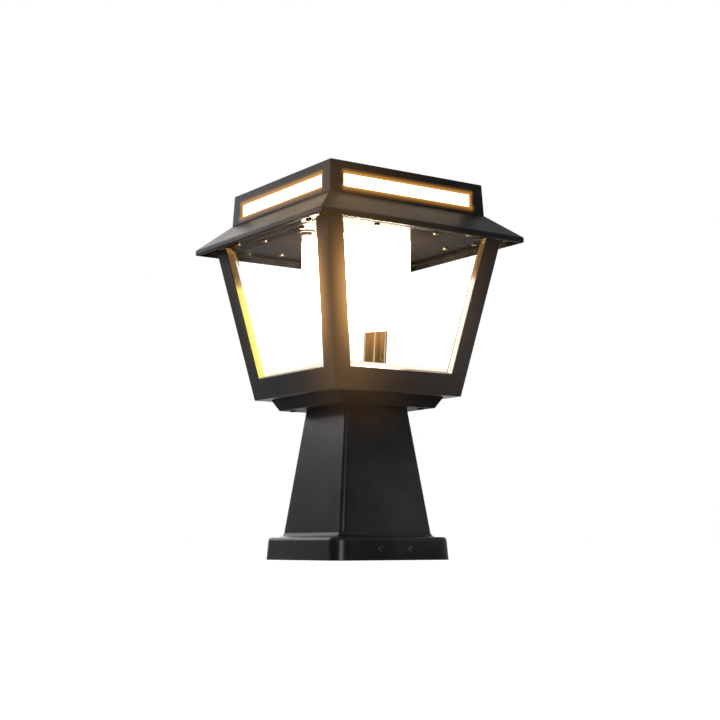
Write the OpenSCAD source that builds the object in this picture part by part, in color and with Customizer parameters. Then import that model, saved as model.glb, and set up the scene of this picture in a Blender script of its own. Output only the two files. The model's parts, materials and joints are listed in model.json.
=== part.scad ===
// Solar pillar lamp: a square base and tapered pedestal, a flared glazed lantern
// and an overhanging roof that holds the solar panel, the battery and the lights.
// Millimetres, +Z up, the origin is the centre of the base where it stands.

/* [Base] */
// Width of the square base flange where it stands
base_w = 144.2; // [136:0.1:150]
// Height of the base flange
base_h = 23; // [21:0.5:26]
// How far each side of the flange leans in over its height
base_draft = 1.7; // [0.5:0.1:3]
// Corner radius of the flange
base_corner_r = 16; // [10:1:20]
// Rounding of the flange's upper edge
base_edge_r = 3.5; // [1:0.5:4]
// Wall thickness of the flange
base_wall = 5; // [4:0.5:6]
// Distance of the two front and two rear base screws from the middle
base_screw_x = 18.5; // [14:0.5:24]
// Drop of the base screws below the inside of the flange's top
base_screw_drop = 6.5; // [5:0.5:7]
// Depth that the base screws' heads are sunk
base_screw_sink = 2.4; // [2.2:0.1:2.6]

/* [Mounting plate] */
// Thickness of the steel mounting plate and of its two tabs
plate_t = 3; // [2.5:0.5:4]
// How far the mounting plate's sides stand in from the flange's foot
plate_in = 17; // [15:0.5:20]
// Pitch of the anchor holes, as drilled in the pillar
anchor_pitch = 84; // [78:1:88]
// Diameter of the anchor holes
anchor_d = 7; // [6:0.5:8]
// Diameter of the hole in the middle of the mounting plate
plate_hole_d = 30; // [20:1:36]

/* [Pedestal] */
// Height of the pedestal above the flange
pedestal_h = 132; // [110:1:150]
// How far the pedestal's foot stands in from the flange's foot
pedestal_in = 16.5; // [15:0.5:19]
// Width of the pedestal at its top
pedestal_top_w = 77.6; // [74:0.2:84]
// Radius of the cove where the pedestal meets the flange
cove_r = 6.5; // [4:0.5:7]
// Corner radius of the pedestal at its foot
pedestal_foot_r = 5.5; // [4:0.5:7]
// Corner radius of the pedestal at its top
pedestal_head_r = 3.8; // [3:0.2:5]
// Wall thickness of the pedestal
pedestal_wall = 4; // [3:0.5:5]
// Thickness of the web that closes the pedestal's top
pedestal_web = 8; // [6:0.5:10]

/* [Collar] */
// Height of the collar between the pedestal and the lantern
collar_h = 11.5; // [10:0.5:14]
// Width of the collar's underside
collar_bottom_w = 117; // [114:1:120]
// How far each side of the collar flares out over its height
collar_flare = 6.5; // [4:0.5:8.5]
// Wall thickness of the collar
collar_wall = 4; // [3:0.5:5]
// Distance of the collar screws from the collar's lower edges
collar_screw_in = 10.5; // [10.3:0.1:12]
// Distance of the neck screws from the pedestal's upper edges
neck_screw_in = 14.8; // [13:0.2:17]

/* [Lantern] */
// Height of the lantern from the collar to the ceiling
lantern_h = 164.5; // [150:0.5:180]
// Width of the lantern at its foot
lantern_bottom_w = 155.4; // [152:0.2:160]
// Width of the lantern at the ceiling
lantern_top_w = 217.4; // [212:0.2:224]
// Thickness of the lantern's floor
floor_t = 5; // [4:0.5:6]
// Height of the bottom rail up to the windows
rail_h = 21.7; // [20:0.1:24]
// Rise of the window sill towards the inside
sill_rise = 3; // [2:0.5:4]
// Width of each corner post on each face
post_leg = 19; // [18:0.5:22]
// Thickness of the corner posts and of the sill
post_wall = 8; // [7.5:0.5:8.5]
// Rounding of the posts' free upper corners
post_round = 6; // [4:0.5:8]
// Rounding of the posts' outer upper edge
post_edge_r = 3; // [2:0.5:3.5]

/* [Glazing] */
// Thickness of the four clear panes
pane_t = 3; // [2.5:0.5:3.5]
// How far a pane laps behind its window's edges
pane_lap = 6; // [5:0.5:6.5]
// Thickness of the beads that hold the panes in the corners
bead_t = 2; // [1.5:0.5:3]
// Width of each leg of a bead, from the post's face
bead_leg = 17; // [16:0.5:18]
// Width of the ledge that the panes stand on
pane_ledge = 12.5; // [12.5:0.5:14]
// Height of the posts that carry the reflector above the lantern's floor
reflector_rise = 10; // [8:0.5:11]
// Thickness of the floor reflector
reflector_t = 1.5; // [1:0.5:2]

/* [Roof] */
// How far the eaves stand out beyond the lantern's top
eave_out = 16.3; // [14.5:0.1:20]
// Height of the eaves' upright rim
eave_h = 5.8; // [5:0.2:7]
// Thickness of the eaves' rim
eave_wall = 3; // [2.5:0.5:4]
// Height of the sloping skirt
skirt_h = 24.5; // [22:0.5:27]
// Wall thickness of the roof
roof_wall = 3; // [2.5:0.5:3.5]
// How far the head's foot stands in from the lantern's top
head_in = 12.4; // [11.7:0.1:14.2]
// How far each side of the head leans in over its height
head_draft = 1.7; // [1.2:0.1:2.4]
// Height of the head above the skirt
head_h = 33.4; // [32.4:0.2:38]
// Chamfer on the roof's outer edges
roof_edge = 0.8; // [0.4:0.1:1]
// Width of the flanges where the skirt and the head are screwed together
head_flange = 8.6; // [8:0.1:9.5]
// Thickness of those flanges
head_flange_t = 3; // [2.5:0.5:3]
// Width of the ledge inside the skirt that the ceiling plate bears on
ceiling_ledge = 4; // [3:0.5:5]

/* [Light strips] */
// Distance of the light strip openings' ends from the head's upper corners
strip_end = 15.9; // [14.5:0.1:20]
// Height of the light strip openings' lower edge above the skirt
strip_sill = 8.1; // [7:0.1:9]
// Gap between a strip lens and the shelf under the solar panel
strip_clear = 0.4; // [0.3:0.1:1.5]
// Depth from the head's face to the back of the opening
strip_depth = 6.5; // [6:0.5:7]
// How far the lit strips lie behind the head's face
strip_recess = 2.5; // [2:0.5:3]
// Chamfer round the light strip openings
strip_chamfer = 1.2; // [0.6:0.1:1.6]
// How far a strip lens laps behind its opening
strip_lap = 3; // [2:0.5:3]
// Number of light chips in each strip
strip_chip_count = 12; // [6:1:16]

/* [Solar panel] */
// Width of the rim that frames the solar panel
panel_rim = 5; // [4:0.5:6]
// Width of the ledge under the solar panel
panel_ledge = 7; // [6:0.5:9]
// Thickness of the ledge under the solar panel
panel_shelf_t = 3; // [2.5:0.5:3.5]
// Thickness of the panel's glass
glass_t = 3.2; // [2.5:0.1:3.4]
// Thickness of the panel's backing
backing_t = 1.2; // [1:0.1:1.4]
// Thickness of the solar cells
cell_t = 0.4; // [0.2:0.1:0.5]
// Thickness of the seal under the panel
panel_seal_t = 1; // [0.6:0.1:1.2]
// How far the panel's glass lies below the roof's rim
glass_sink = 0.4; // [0.2:0.1:0.6]
// Number of solar cells along each side
cells_across = 4; // [3:1:6]
// Gap between solar cells
cell_gap = 1.6; // [1:0.2:3]

/* [Main light] */
// Outside diameter of the frosted diffuser
diffuser_d = 114; // [108:1:116]
// Length of the diffuser below the ceiling
diffuser_len = 86; // [70:1:100]
// Wall thickness of the diffuser
diffuser_wall = 2.5; // [2:0.5:3]
// Rounding of the diffuser's lower edge
diffuser_edge_r = 4; // [3:0.5:8]
// Width of the flange that the diffuser hangs from
diffuser_flange = 6; // [5:0.5:7]
// Thickness of the diffuser's flange
flange_t = 2.5; // [2:0.5:3]
// Width of the light carrier's rim around that flange
carrier_rim = 6.4; // [6:0.2:7]
// Height of the light carrier's rim above the ceiling plate
carrier_rise = 6; // [5.5:0.5:6.5]
// Thickness of the light carrier's disc
carrier_t = 3; // [2.5:0.5:3]
// Gap between the main light board and the wall round it
board_gap = 4; // [2:0.5:6]
// Thickness of the circuit boards
board_t = 1.6; // [1:0.2:1.6]
// Width of a light chip
chip_w = 3.5; // [2.8:0.1:4]
// Height of a light chip
chip_h = 0.8; // [0.6:0.1:1]
// Distance of the outer ring of chips from the board's edge
chip_ring_in = 10; // [6:0.5:12]
// Number of chips in the outer ring
chip_count = 16; // [8:1:20]
// Distance of the main light board's screws from its edge
board_screw_in = 20; // [18:0.5:22]

/* [Ceiling] */
// Thickness of the ceiling plate
ceiling_t = 2; // [1.5:0.5:2.5]
// Thickness of the gasket above the ceiling plate
ceiling_seal_t = 1; // [0.6:0.2:1.4]
// Distance of the outer ceiling screws from the middle, along the wall
outer_screw_along = 70; // [60:1:74]
// Gap along the wall between the button's nut and the bosses of the inner ceiling screws
inner_boss_gap = 0.3; // [0.2:0.1:3]

/* [Button] */
// Gap between the push button's barrel and the light carrier
button_gap = 2.8; // [2:0.1:4]
// Direction of the push button from the middle, turned from the right to the rear
button_turn = 197.3; // [190:0.1:205]
// Diameter of the push button
button_d = 12; // [11:0.5:12.5]
// How far the push button stands below the ceiling
button_out = 4.5; // [2.5:0.5:5]
// Travel of the push button
button_travel = 1.5; // [1:0.1:1.8]
// Running clearance round the push button
button_clear = 0.08; // [0.05:0.01:0.1]
// Outside diameter of the button's bezel below the ceiling
bezel_d = 18; // [17:0.5:19]
// Thickness of the bezel's rim below the ceiling
bezel_rim_t = 1.5; // [1:0.5:2]

/* [Battery and control] */
// Diameter of a battery cell
battery_d = 18.4; // [18:0.1:18.8]
// Length of a battery cell
battery_len = 65; // [60:1:68]
// Number of battery cells
battery_count = 4; // [2:1:4]
// How far the battery tray's ends stand in from the head's foot
tray_in = 16.6; // [15.5:0.1:19]
// Width of the tray
tray_y = 108; // [104:1:112]
// Thickness of the tray's deck
tray_t = 2.5; // [2:0.5:3]
// Height of the tray's legs above the ceiling plate
tray_rise = 13; // [12.5:0.5:14]
// Distance of the tray's legs from its edges
tray_leg_in = 6; // [5:0.5:7]
// Distance of the control board from the tray's end
control_end = 15; // [12:0.5:18]
// Width of the control board
control_y = 60; // [50:1:70]

/* [Fits] */
// Gap round pieces that drop into place
fit_gap = 0.3; // [0.2:0.05:0.4]
// Gap behind pieces that are pressed up against a seat
seat_gap = 0.2; // [0.1:0.05:0.3]
// Gap round a thread in its tapped hole
thread_gap = 0.1; // [0.05:0.05:0.15]
// Gap round a screw in its clearance hole
screw_gap = 0.3; // [0.2:0.05:0.4]

/* [Hidden] */
$fn = 64;

// Heights of the main levels
z_collar = base_h + pedestal_h;
z_lantern = z_collar + collar_h;
z_sill = z_lantern + rail_h;
z_ceiling = z_lantern + lantern_h;
z_eave = z_ceiling - eave_h;
z_deck = z_ceiling + ceiling_t;
z_ledge = z_deck + ceiling_seal_t;
z_head = z_ceiling + skirt_h;
z_top = z_head + head_h;
z_glass = z_top - glass_sink - glass_t;
z_backing = z_glass - cell_t - backing_t;
z_shelf = z_backing - panel_seal_t;
z_shelf_under = z_shelf - panel_shelf_t;
z_strip_low = z_head + strip_sill;
z_strip_high = z_shelf_under - strip_clear - strip_lap;
z_strip = (z_strip_low + z_strip_high) / 2;
z_board = z_deck + carrier_rise - board_t;
z_carrier = z_deck + carrier_rise;
z_tray = z_deck + tray_rise + tray_t;

// Widths that follow from one another, from the base up to the head
plate_w = base_w - 2 * plate_in;
collar_top_w = collar_bottom_w + 2 * collar_flare;
collar_screw_at = collar_bottom_w / 2 - collar_screw_in;
neck_screw_at = pedestal_top_w / 2 - neck_screw_in;
eave_w = lantern_top_w + 2 * eave_out;
head_bottom_w = lantern_top_w - 2 * head_in;
head_top_w = head_bottom_w - 2 * head_draft;

// Cuts run past the faces they open by this much
past = 1;

// Screws end this much short of the far side of what they are driven into
tip_gap = 0.4;

// Screws as [head radius, head height, shank radius], and their sockets' share of the head
socket_share = 0.6;
m4_button = [3.6, 2, 2];
m5_pan = [4.5, 3, 2.5];
m4_pan = [3.6, 2.2, 2];
m3_pan = [2.9, 1.8, 1.5];
m2_pan = [2, 1.2, 1];

// Outline of a rounded square, from its half-width and corner radius, at one height
arc_steps = 8;
function rounded_ring(half, r, z) = [
    for (corner = [0:3])
        for (step = [0:arc_steps])
            let (turn = 90 * corner + 90 * step / arc_steps)
            let (quadrant = 90 * corner + 45)
            [sign(cos(quadrant)) * (half - r) + r * cos(turn),
                sign(sin(quadrant)) * (half - r) + r * sin(turn), z]];

// Solid through rounded squares that are listed upwards as [half-width, corner radius, height]
module loft(stations) {
    per_ring = 4 * (arc_steps + 1);
    last = (len(stations) - 1) * per_ring;
    points = [for (s = stations) each rounded_ring(s[0], s[1], s[2])];
    sides = [
        for (level = [0:len(stations) - 2])
            for (i = [0:per_ring - 1])
                let (a = level * per_ring + i)
                let (b = level * per_ring + (i + 1) % per_ring)
                each [[a, a + per_ring, b], [b, a + per_ring, b + per_ring]]];
    bottom = [[for (i = [0:per_ring - 1]) i]];
    top = [[for (i = [per_ring - 1:-1:0]) last + i]];
    polyhedron(points = points, faces = concat(sides, bottom, top));
}

// Square solid with mitred corners whose side profile is listed upwards as [half-width, height]
module mitred(profile) {
    reach = 2 * max([for (p = profile) p[0]]) + 2 * past;
    count = len(profile);
    mirrored = [for (i = [count - 1:-1:0]) [-profile[i][0], profile[i][1]]];
    outline = concat(profile, mirrored);
    intersection() {
        rotate([90, 0, 0]) linear_extrude(height = reach, center = true) polygon(outline);
        rotate([90, 0, 90]) linear_extrude(height = reach, center = true) polygon(outline);
    }
}

// Copies at the four corners or the four sides of a square
module at_corners(distance) {
    for (x = [-1, 1], y = [-1, 1])
        translate([x * distance, y * distance, 0]) children();
}
module at_sides() {
    for (turn = [0:90:270]) rotate(turn) children();
}

// Screw with a socket head that hangs below Z 0 and its shank upwards
module screw(kind, length) {
    difference() {
        union() {
            translate([0, 0, -kind[1]]) cylinder(r = kind[0], h = kind[1]);
            cylinder(r = kind[2], h = length);
        }
        translate([0, 0, -kind[1] - past])
            cylinder(r = socket_share * kind[0], h = socket_share * kind[1] + past, $fn = 6);
    }
}
module screw_down(kind, length) {
    rotate([180, 0, 0]) screw(kind, length);
}

// Base: the flange's faces lean in, and its upper edge is rounded
function flange_half(z) = base_w / 2 - base_draft * z / base_h;
flange_edge_z = base_h - base_edge_r;
flange_cavity_z = base_h - base_wall;
base_screw_z = flange_cavity_z - base_screw_drop;
tab_half = flange_half(flange_cavity_z) - base_wall - fit_gap;
tab_h = flange_cavity_z - fit_gap;
base_screw_len = base_wall - base_screw_sink + fit_gap + plate_t + base_draft + past;

module at_base_screws() {
    for (side = [0, 180], x = [-base_screw_x, base_screw_x])
        rotate(side)
            translate([x, base_screw_sink - flange_half(base_screw_z), base_screw_z])
                rotate([-90, 0, 0]) children();
}

module mounting_plate() {
    color([0.62, 0.63, 0.65]) difference() {
        union() {
            translate([-plate_w / 2, -tab_half, 0]) cube([plate_w, 2 * tab_half, plate_t]);
            for (side = [0, 180])
                rotate(side) translate([-plate_w / 2, -tab_half, 0]) cube([plate_w, plate_t, tab_h]);
        }
        at_corners(anchor_pitch / 2)
            translate([0, 0, -past]) cylinder(d = anchor_d, h = plate_t + 2 * past);
        translate([0, 0, -past]) cylinder(d = plate_hole_d, h = plate_t + 2 * past);
        at_base_screws() cylinder(r = m4_button[2] + thread_gap, h = base_screw_len + past);
    }
}

module base_screws() {
    color([0.12, 0.12, 0.13]) at_base_screws() screw(m4_button, base_screw_len);
}

// Pedestal: one hollow casting with the flange, the cove and the tapered neck
cove_steps = 6;
edge_steps = 4;
pedestal_half_foot = base_w / 2 - pedestal_in;
pedestal_half_head = pedestal_top_w / 2;
z_cove = base_h + cove_r;

function pedestal_profile() = concat(
    [[flange_half(0), base_corner_r, 0]],
    [for (step = [0:edge_steps])
        let (turn = 90 * step / edge_steps)
        [flange_half(flange_edge_z) - base_edge_r * (1 - cos(turn)),
            base_corner_r - base_edge_r * (1 - cos(turn)), flange_edge_z + base_edge_r * sin(turn)]],
    [for (step = [0:cove_steps])
        let (turn = 90 * step / cove_steps)
        [pedestal_half_foot + cove_r * (1 - sin(turn)),
            pedestal_foot_r + cove_r * (1 - sin(turn)), z_cove - cove_r * cos(turn)]],
    [[pedestal_half_head, pedestal_head_r, z_collar]]);

function pedestal_cavity() = [
    [flange_half(-base_wall) - base_wall, base_corner_r - base_wall, -base_wall],
    [flange_half(flange_cavity_z) - base_wall, base_corner_r - base_wall, flange_cavity_z],
    [pedestal_half_foot - pedestal_wall, pedestal_foot_r - pedestal_wall / 2, flange_cavity_z],
    [pedestal_half_foot - pedestal_wall, pedestal_foot_r - pedestal_wall / 2, z_cove],
    [pedestal_half_head - pedestal_wall, pedestal_head_r - pedestal_wall / 2, z_collar - pedestal_web]];

module pedestal() {
    color([0.11, 0.11, 0.12]) difference() {
        loft(pedestal_profile());
        loft(pedestal_cavity());
        at_base_screws() {
            translate([0, 0, -base_screw_sink - past])
                cylinder(r = m4_button[0] + fit_gap, h = base_screw_sink + past);
            cylinder(r = m4_button[2] + screw_gap, h = base_wall);
        }
        at_corners(neck_screw_at)
            translate([0, 0, z_collar - pedestal_web - past])
                cylinder(r = m5_pan[2] + thread_gap, h = pedestal_web + 2 * past);
    }
}

// Collar: a shallow tray with bosses, screwed up to the lantern and down to the pedestal
collar_boss_r = 6;
collar_screw_grip = 4;
collar_screw_len = collar_h + floor_t + collar_screw_grip;
neck_screw_len = floor_t + collar_h + pedestal_web;

module collar() {
    color([0.12, 0.115, 0.11]) difference() {
        union() {
            difference() {
                mitred([[collar_bottom_w / 2, z_collar], [collar_top_w / 2, z_lantern]]);
                mitred([[collar_bottom_w / 2 - collar_wall, z_collar + collar_wall],
                    [collar_top_w / 2 - collar_wall, z_lantern + past]]);
            }
            translate([0, 0, z_collar]) {
                at_corners(collar_screw_at) cylinder(r = collar_boss_r, h = collar_h);
                at_corners(neck_screw_at) cylinder(r = collar_boss_r, h = collar_h);
            }
        }
        translate([0, 0, z_collar - past]) {
            at_corners(collar_screw_at) cylinder(r = m4_pan[2] + screw_gap, h = collar_h + 2 * past);
            at_corners(neck_screw_at) cylinder(r = m5_pan[2] + screw_gap, h = collar_h + 2 * past);
        }
    }
}

module collar_screws() {
    color([0.2, 0.2, 0.21]) at_corners(collar_screw_at)
        translate([0, 0, z_collar]) screw(m4_pan, collar_screw_len);
}

module neck_screws() {
    color([0.6, 0.6, 0.62]) at_corners(neck_screw_at)
        translate([0, 0, z_lantern + floor_t]) screw_down(m5_pan, neck_screw_len);
}

// Lantern: its faces lean outwards, and depths are measured level from the outer face
lantern_lean = (lantern_top_w - lantern_bottom_w) / 2 / lantern_h;
function lantern_half(z) = lantern_bottom_w / 2 + lantern_lean * (z - z_lantern);
function level(thickness) = thickness / cos(atan(lantern_lean));
post_depth = level(post_wall);
pane_face = post_depth + seat_gap;
pane_back_face = pane_face + level(pane_t);
bead_face = pane_back_face + seat_gap;
z_reflector = z_lantern + floor_t + reflector_rise;
z_pane = z_sill + sill_rise - pane_lap;
pane_top = z_ceiling - fit_gap;
post_boss_r = 5;
post_boss_h = 16;
post_screw_in = 7.2;
post_screw_at = lantern_half(z_ceiling) - post_screw_in;
post_screw_grip = 12;
post_screw_len = ceiling_t + post_screw_grip;
reflector_screw_grip = 4;
bead_top = z_ceiling - post_boss_h - 2 * past;

// Lantern-shaped solid that lies a level depth behind the outer faces
module raked(depth, z0, z1) {
    mitred([[lantern_half(z0) - depth, z0], [lantern_half(z1) - depth, z1]]);
}

// The clear stretch between the posts, through the front and back faces
module window(inset, z0, z1, length) {
    near = lantern_half(z0) - inset;
    far = lantern_half(z1) - inset;
    rotate([90, 0, 0]) linear_extrude(height = length, center = true)
        polygon([[-near, z0], [near, z0], [far, z1], [-far, z1]]);
}

// Window between posts whose free corners are rounded under the ceiling
module post_window(length) {
    z_round = z_ceiling - post_round;
    steps = 5;
    corner = [for (step = [0:steps])
        let (turn = 90 * step / steps)
        [lantern_half(z_round) - post_leg + post_round * (1 - cos(turn)),
            z_round + post_round * sin(turn)]];
    right = concat([[lantern_half(z_lantern) - post_leg, z_lantern]], corner,
        [[lantern_half(z_ceiling) - post_leg + post_round, z_ceiling + past]]);
    count = len(right);
    left = [for (i = [count - 1:-1:0]) [-right[i][0], right[i][1]]];
    rotate([90, 0, 0]) linear_extrude(height = length, center = true) polygon(concat(right, left));
}

// Four raked corner posts with an L section, their outer upper edge rounded
module posts() {
    z_round = z_ceiling - post_edge_r;
    difference() {
        mitred(concat([[lantern_half(z_lantern), z_lantern]],
            [for (step = [0:edge_steps])
                let (turn = 90 * step / edge_steps)
                [lantern_half(z_round) - post_edge_r * (1 - cos(turn)),
                    z_round + post_edge_r * sin(turn)]]));
        raked(post_depth, z_lantern - past, z_ceiling + past);
        for (turn = [0, 90]) rotate(turn) post_window(lantern_top_w + 2 * past);
    }
}

// Bottom rail with its floor, sloping sill and the ledge that the panes stand on
module rail() {
    z_floor = z_lantern + floor_t;
    z_inner_sill = z_sill + sill_rise;
    difference() {
        mitred([[lantern_half(z_lantern), z_lantern], [lantern_half(z_sill), z_sill],
            [lantern_half(z_inner_sill) - post_depth, z_inner_sill]]);
        mitred([
            [lantern_half(z_pane) - pane_ledge, z_floor],
            [lantern_half(z_pane) - pane_ledge, z_pane],
            [lantern_half(z_pane) - post_depth, z_pane],
            [lantern_half(z_inner_sill + past) - post_depth, z_inner_sill + past]]);
    }
}

module lantern_frame() {
    color([0.12, 0.115, 0.11]) difference() {
        union() {
            rail();
            posts();
            intersection() {
                raked(past, z_lantern, z_ceiling);
                at_corners(post_screw_at)
                    translate([0, 0, z_ceiling - post_boss_h]) cylinder(r = post_boss_r, h = post_boss_h);
            }
        }
        at_corners(post_screw_at)
            translate([0, 0, z_deck - post_screw_len - past])
                cylinder(r = m4_pan[2] + thread_gap, h = post_screw_len + 2 * past);
        translate([0, 0, z_lantern - past]) {
            at_corners(collar_screw_at) cylinder(r = m4_pan[2] + screw_gap, h = floor_t + 2 * past);
            at_corners(neck_screw_at) cylinder(r = m5_pan[2] + screw_gap, h = floor_t + 2 * past);
        }
    }
}

// Hexagonal posts on the lantern's floor, tapped at both ends for the collar's and the reflector's screws
reflector_post_r = 6;
module reflector_posts() {
    low_hole = collar_screw_grip + tip_gap;
    color([0.7, 0.7, 0.72]) at_corners(collar_screw_at) translate([0, 0, z_lantern + floor_t])
        difference() {
            cylinder(r = reflector_post_r, h = reflector_rise, $fn = 6);
            translate([0, 0, -past]) cylinder(r = m4_pan[2] + thread_gap, h = low_hole + past);
            translate([0, 0, reflector_rise - reflector_screw_grip])
                cylinder(r = m3_pan[2] + thread_gap, h = reflector_screw_grip + past);
        }
}

module floor_reflector() {
    half = lantern_half(z_pane) - pane_ledge - fit_gap;
    color([0.9, 0.9, 0.88]) difference() {
        translate([-half, -half, z_reflector]) cube([2 * half, 2 * half, reflector_t]);
        at_corners(collar_screw_at)
            translate([0, 0, z_reflector - past])
                cylinder(r = m3_pan[2] + screw_gap, h = reflector_t + 2 * past);
    }
}

module reflector_screws() {
    color([0.7, 0.7, 0.72]) at_corners(collar_screw_at)
        translate([0, 0, z_reflector + reflector_t])
            screw_down(m3_pan, reflector_t + reflector_screw_grip - tip_gap);
}

module pane() {
    intersection() {
        difference() {
            raked(pane_face, z_pane, pane_top);
            raked(pane_back_face, z_pane - past, pane_top + past);
        }
        translate([0, -lantern_top_w / 2, 0])
            window(post_leg - pane_lap, z_pane, pane_top, lantern_top_w - 2 * past);
    }
}
module pane_front() { color([0.85, 0.92, 0.95, 0.35]) pane(); }
module pane_right() { color([0.85, 0.92, 0.95, 0.35]) rotate(90) pane(); }
module pane_back() { color([0.85, 0.92, 0.95, 0.35]) rotate(180) pane(); }
module pane_left() { color([0.85, 0.92, 0.95, 0.35]) rotate(270) pane(); }

module glazing_beads() {
    z0 = z_sill + sill_rise;
    color([0.1, 0.1, 0.1]) difference() {
        raked(bead_face, z0, bead_top);
        raked(bead_face + level(bead_t), z0 - past, bead_top + past);
        for (turn = [0, 90])
            rotate(turn) window(bead_leg, z0 - past, bead_top + past, lantern_top_w + 2 * past);
    }
}

module post_screws() {
    color([0.6, 0.6, 0.62]) at_corners(post_screw_at)
        translate([0, 0, z_deck]) screw_down(m4_pan, post_screw_len);
}

// Roof: a skirt with an upright rim, and a square head that is screwed onto its inner flange
skirt_run = (eave_w - head_bottom_w) / 2;
function skirt_half(z) = eave_w / 2 - (z - z_ceiling) * skirt_run / skirt_h;
skirt_inset = roof_wall / sin(atan(skirt_h / skirt_run));
function skirt_z(half) = z_ceiling + (eave_w / 2 - skirt_inset - half) * skirt_h / skirt_run;
function skirt_inner(z) = skirt_half(z) - skirt_inset;
function head_half(z) = head_bottom_w / 2 - (head_bottom_w - head_top_w) / 2 * (z - z_head) / head_h;
pocket_half = skirt_inner(z_ledge);
ledge_half = pocket_half - ceiling_ledge;
recess_half = head_top_w / 2 - panel_rim;
shelf_half = recess_half - panel_ledge;
roof_boss_r = 3.6;
roof_boss_bite = 0.75;
roof_screw_grip = 10;
outer_screw_out = lantern_half(z_ceiling) - post_depth / 2;
inner_screw_out = head_bottom_w / 2 - roof_wall - roof_boss_bite * roof_boss_r;
roof_screw_len = ceiling_t + ceiling_seal_t + roof_screw_grip;
roof_hole_h = z_ceiling + roof_screw_len + tip_gap - z_ledge;

module at_ceiling_screws() {
    at_sides()
        for (side = [-1, 1]) {
            translate([side * outer_screw_along, -outer_screw_out, 0]) children();
            translate([side * inner_screw_along, -inner_screw_out, 0]) children();
        }
}

flange_inner = head_bottom_w / 2 - roof_wall - head_flange;
z_flange = z_head - head_flange_t;
head_boss_r = 4;
head_boss_h = 10;
head_boss_bite = 0.6;
head_screw_at = head_bottom_w / 2 - roof_wall - head_boss_r + head_boss_bite;

module skirt_outside() {
    mitred([
        [eave_w / 2 - roof_edge, z_eave],
        [eave_w / 2, z_eave + roof_edge],
        [eave_w / 2, z_ceiling],
        [head_bottom_w / 2, z_head]]);
}

module skirt_cavity() {
    mitred([
        [eave_w / 2 - eave_wall, z_eave - past],
        [eave_w / 2 - eave_wall, z_ceiling],
        [pocket_half, z_ceiling],
        [pocket_half, z_ledge],
        [ledge_half, z_ledge],
        [ledge_half, skirt_z(ledge_half)],
        [skirt_inner(z_flange), z_flange],
        [flange_inner, z_flange],
        [flange_inner, z_head + past]]);
}

module head_outside() {
    mitred([
        [head_bottom_w / 2, z_head],
        [head_half(z_top - roof_edge), z_top - roof_edge],
        [head_half(z_top) - roof_edge, z_top]]);
}

module head_cavity() {
    z_flange_top = z_head + head_flange_t;
    mitred([
        [flange_inner, z_head - past],
        [flange_inner, z_flange_top],
        [head_half(z_flange_top) - roof_wall, z_flange_top],
        [head_half(z_shelf_under) - roof_wall, z_shelf_under],
        [shelf_half, z_shelf_under],
        [shelf_half, z_shelf],
        [recess_half, z_shelf],
        [recess_half, z_top + past]]);
}

// Light strips: places are worked out for the front and turned to the other sides
strip_w = head_top_w - 2 * strip_end;
strip_h = z_strip_high - z_strip_low;
strip_face = head_half(z_strip);
strip_back = strip_face - strip_depth;
lens_flange_t = 2;
strip_pad = strip_lap + 1;
strip_pad_relief = 0.2;
module strip_block(width, height, y_out, y_in) {
    translate([-width / 2, -y_out, z_strip - height / 2]) cube([width, y_out - y_in, height]);
}

// Opening of a light strip, with its outer edges chamfered all round
module strip_opening() {
    inner = strip_face - strip_chamfer;
    outer = strip_face + strip_chamfer;
    spread = 2 * strip_chamfer;
    strip_block(strip_w, strip_h, strip_face + roof_wall, strip_back - past);
    intersection() {
        rotate([90, 0, 90]) linear_extrude(height = strip_w + 2 * spread, center = true)
            polygon([[-inner, z_strip_low], [-outer, z_strip_low - spread],
                [-outer, z_strip_high + spread], [-inner, z_strip_high]]);
        translate([0, 0, z_strip_low - spread]) linear_extrude(height = strip_h + 2 * spread)
            polygon([[-strip_w / 2, -inner], [-strip_w / 2 - spread, -outer],
                [strip_w / 2 + spread, -outer], [strip_w / 2, -inner]]);
    }
}

module roof_shell() {
    color([0.12, 0.115, 0.11]) difference() {
        union() {
            difference() {
                skirt_outside();
                skirt_cavity();
            }
            intersection() {
                skirt_outside();
                at_ceiling_screws()
                    translate([0, 0, z_ledge]) cylinder(r = roof_boss_r, h = z_head - z_ledge);
            }
        }
        at_ceiling_screws()
            translate([0, 0, z_ledge - past]) cylinder(r = m3_pan[2] + thread_gap, h = roof_hole_h);
        at_corners(head_screw_at)
            translate([0, 0, z_flange - past])
                cylinder(r = m3_pan[2] + screw_gap, h = head_flange_t + 2 * past);
    }
}

module roof_head() {
    color([0.12, 0.115, 0.11]) difference() {
        union() {
            difference() {
                head_outside();
                head_cavity();
            }
            at_corners(head_screw_at) translate([0, 0, z_head]) cylinder(r = head_boss_r, h = head_boss_h);
            at_sides()
                strip_block(strip_w + 2 * strip_pad, strip_h + 2 * (strip_pad - strip_pad_relief),
                    strip_face - roof_wall / 2, strip_back);
        }
        at_sides() strip_opening();
        at_corners(head_screw_at)
            translate([0, 0, z_head - past]) cylinder(r = m3_pan[2] + thread_gap, h = head_boss_h + 2 * past);
    }
}

module head_screws() {
    color([0.6, 0.6, 0.62]) at_corners(head_screw_at)
        translate([0, 0, z_flange]) screw(m3_pan, head_flange_t + head_boss_h - 2 * tip_gap);
}

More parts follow.
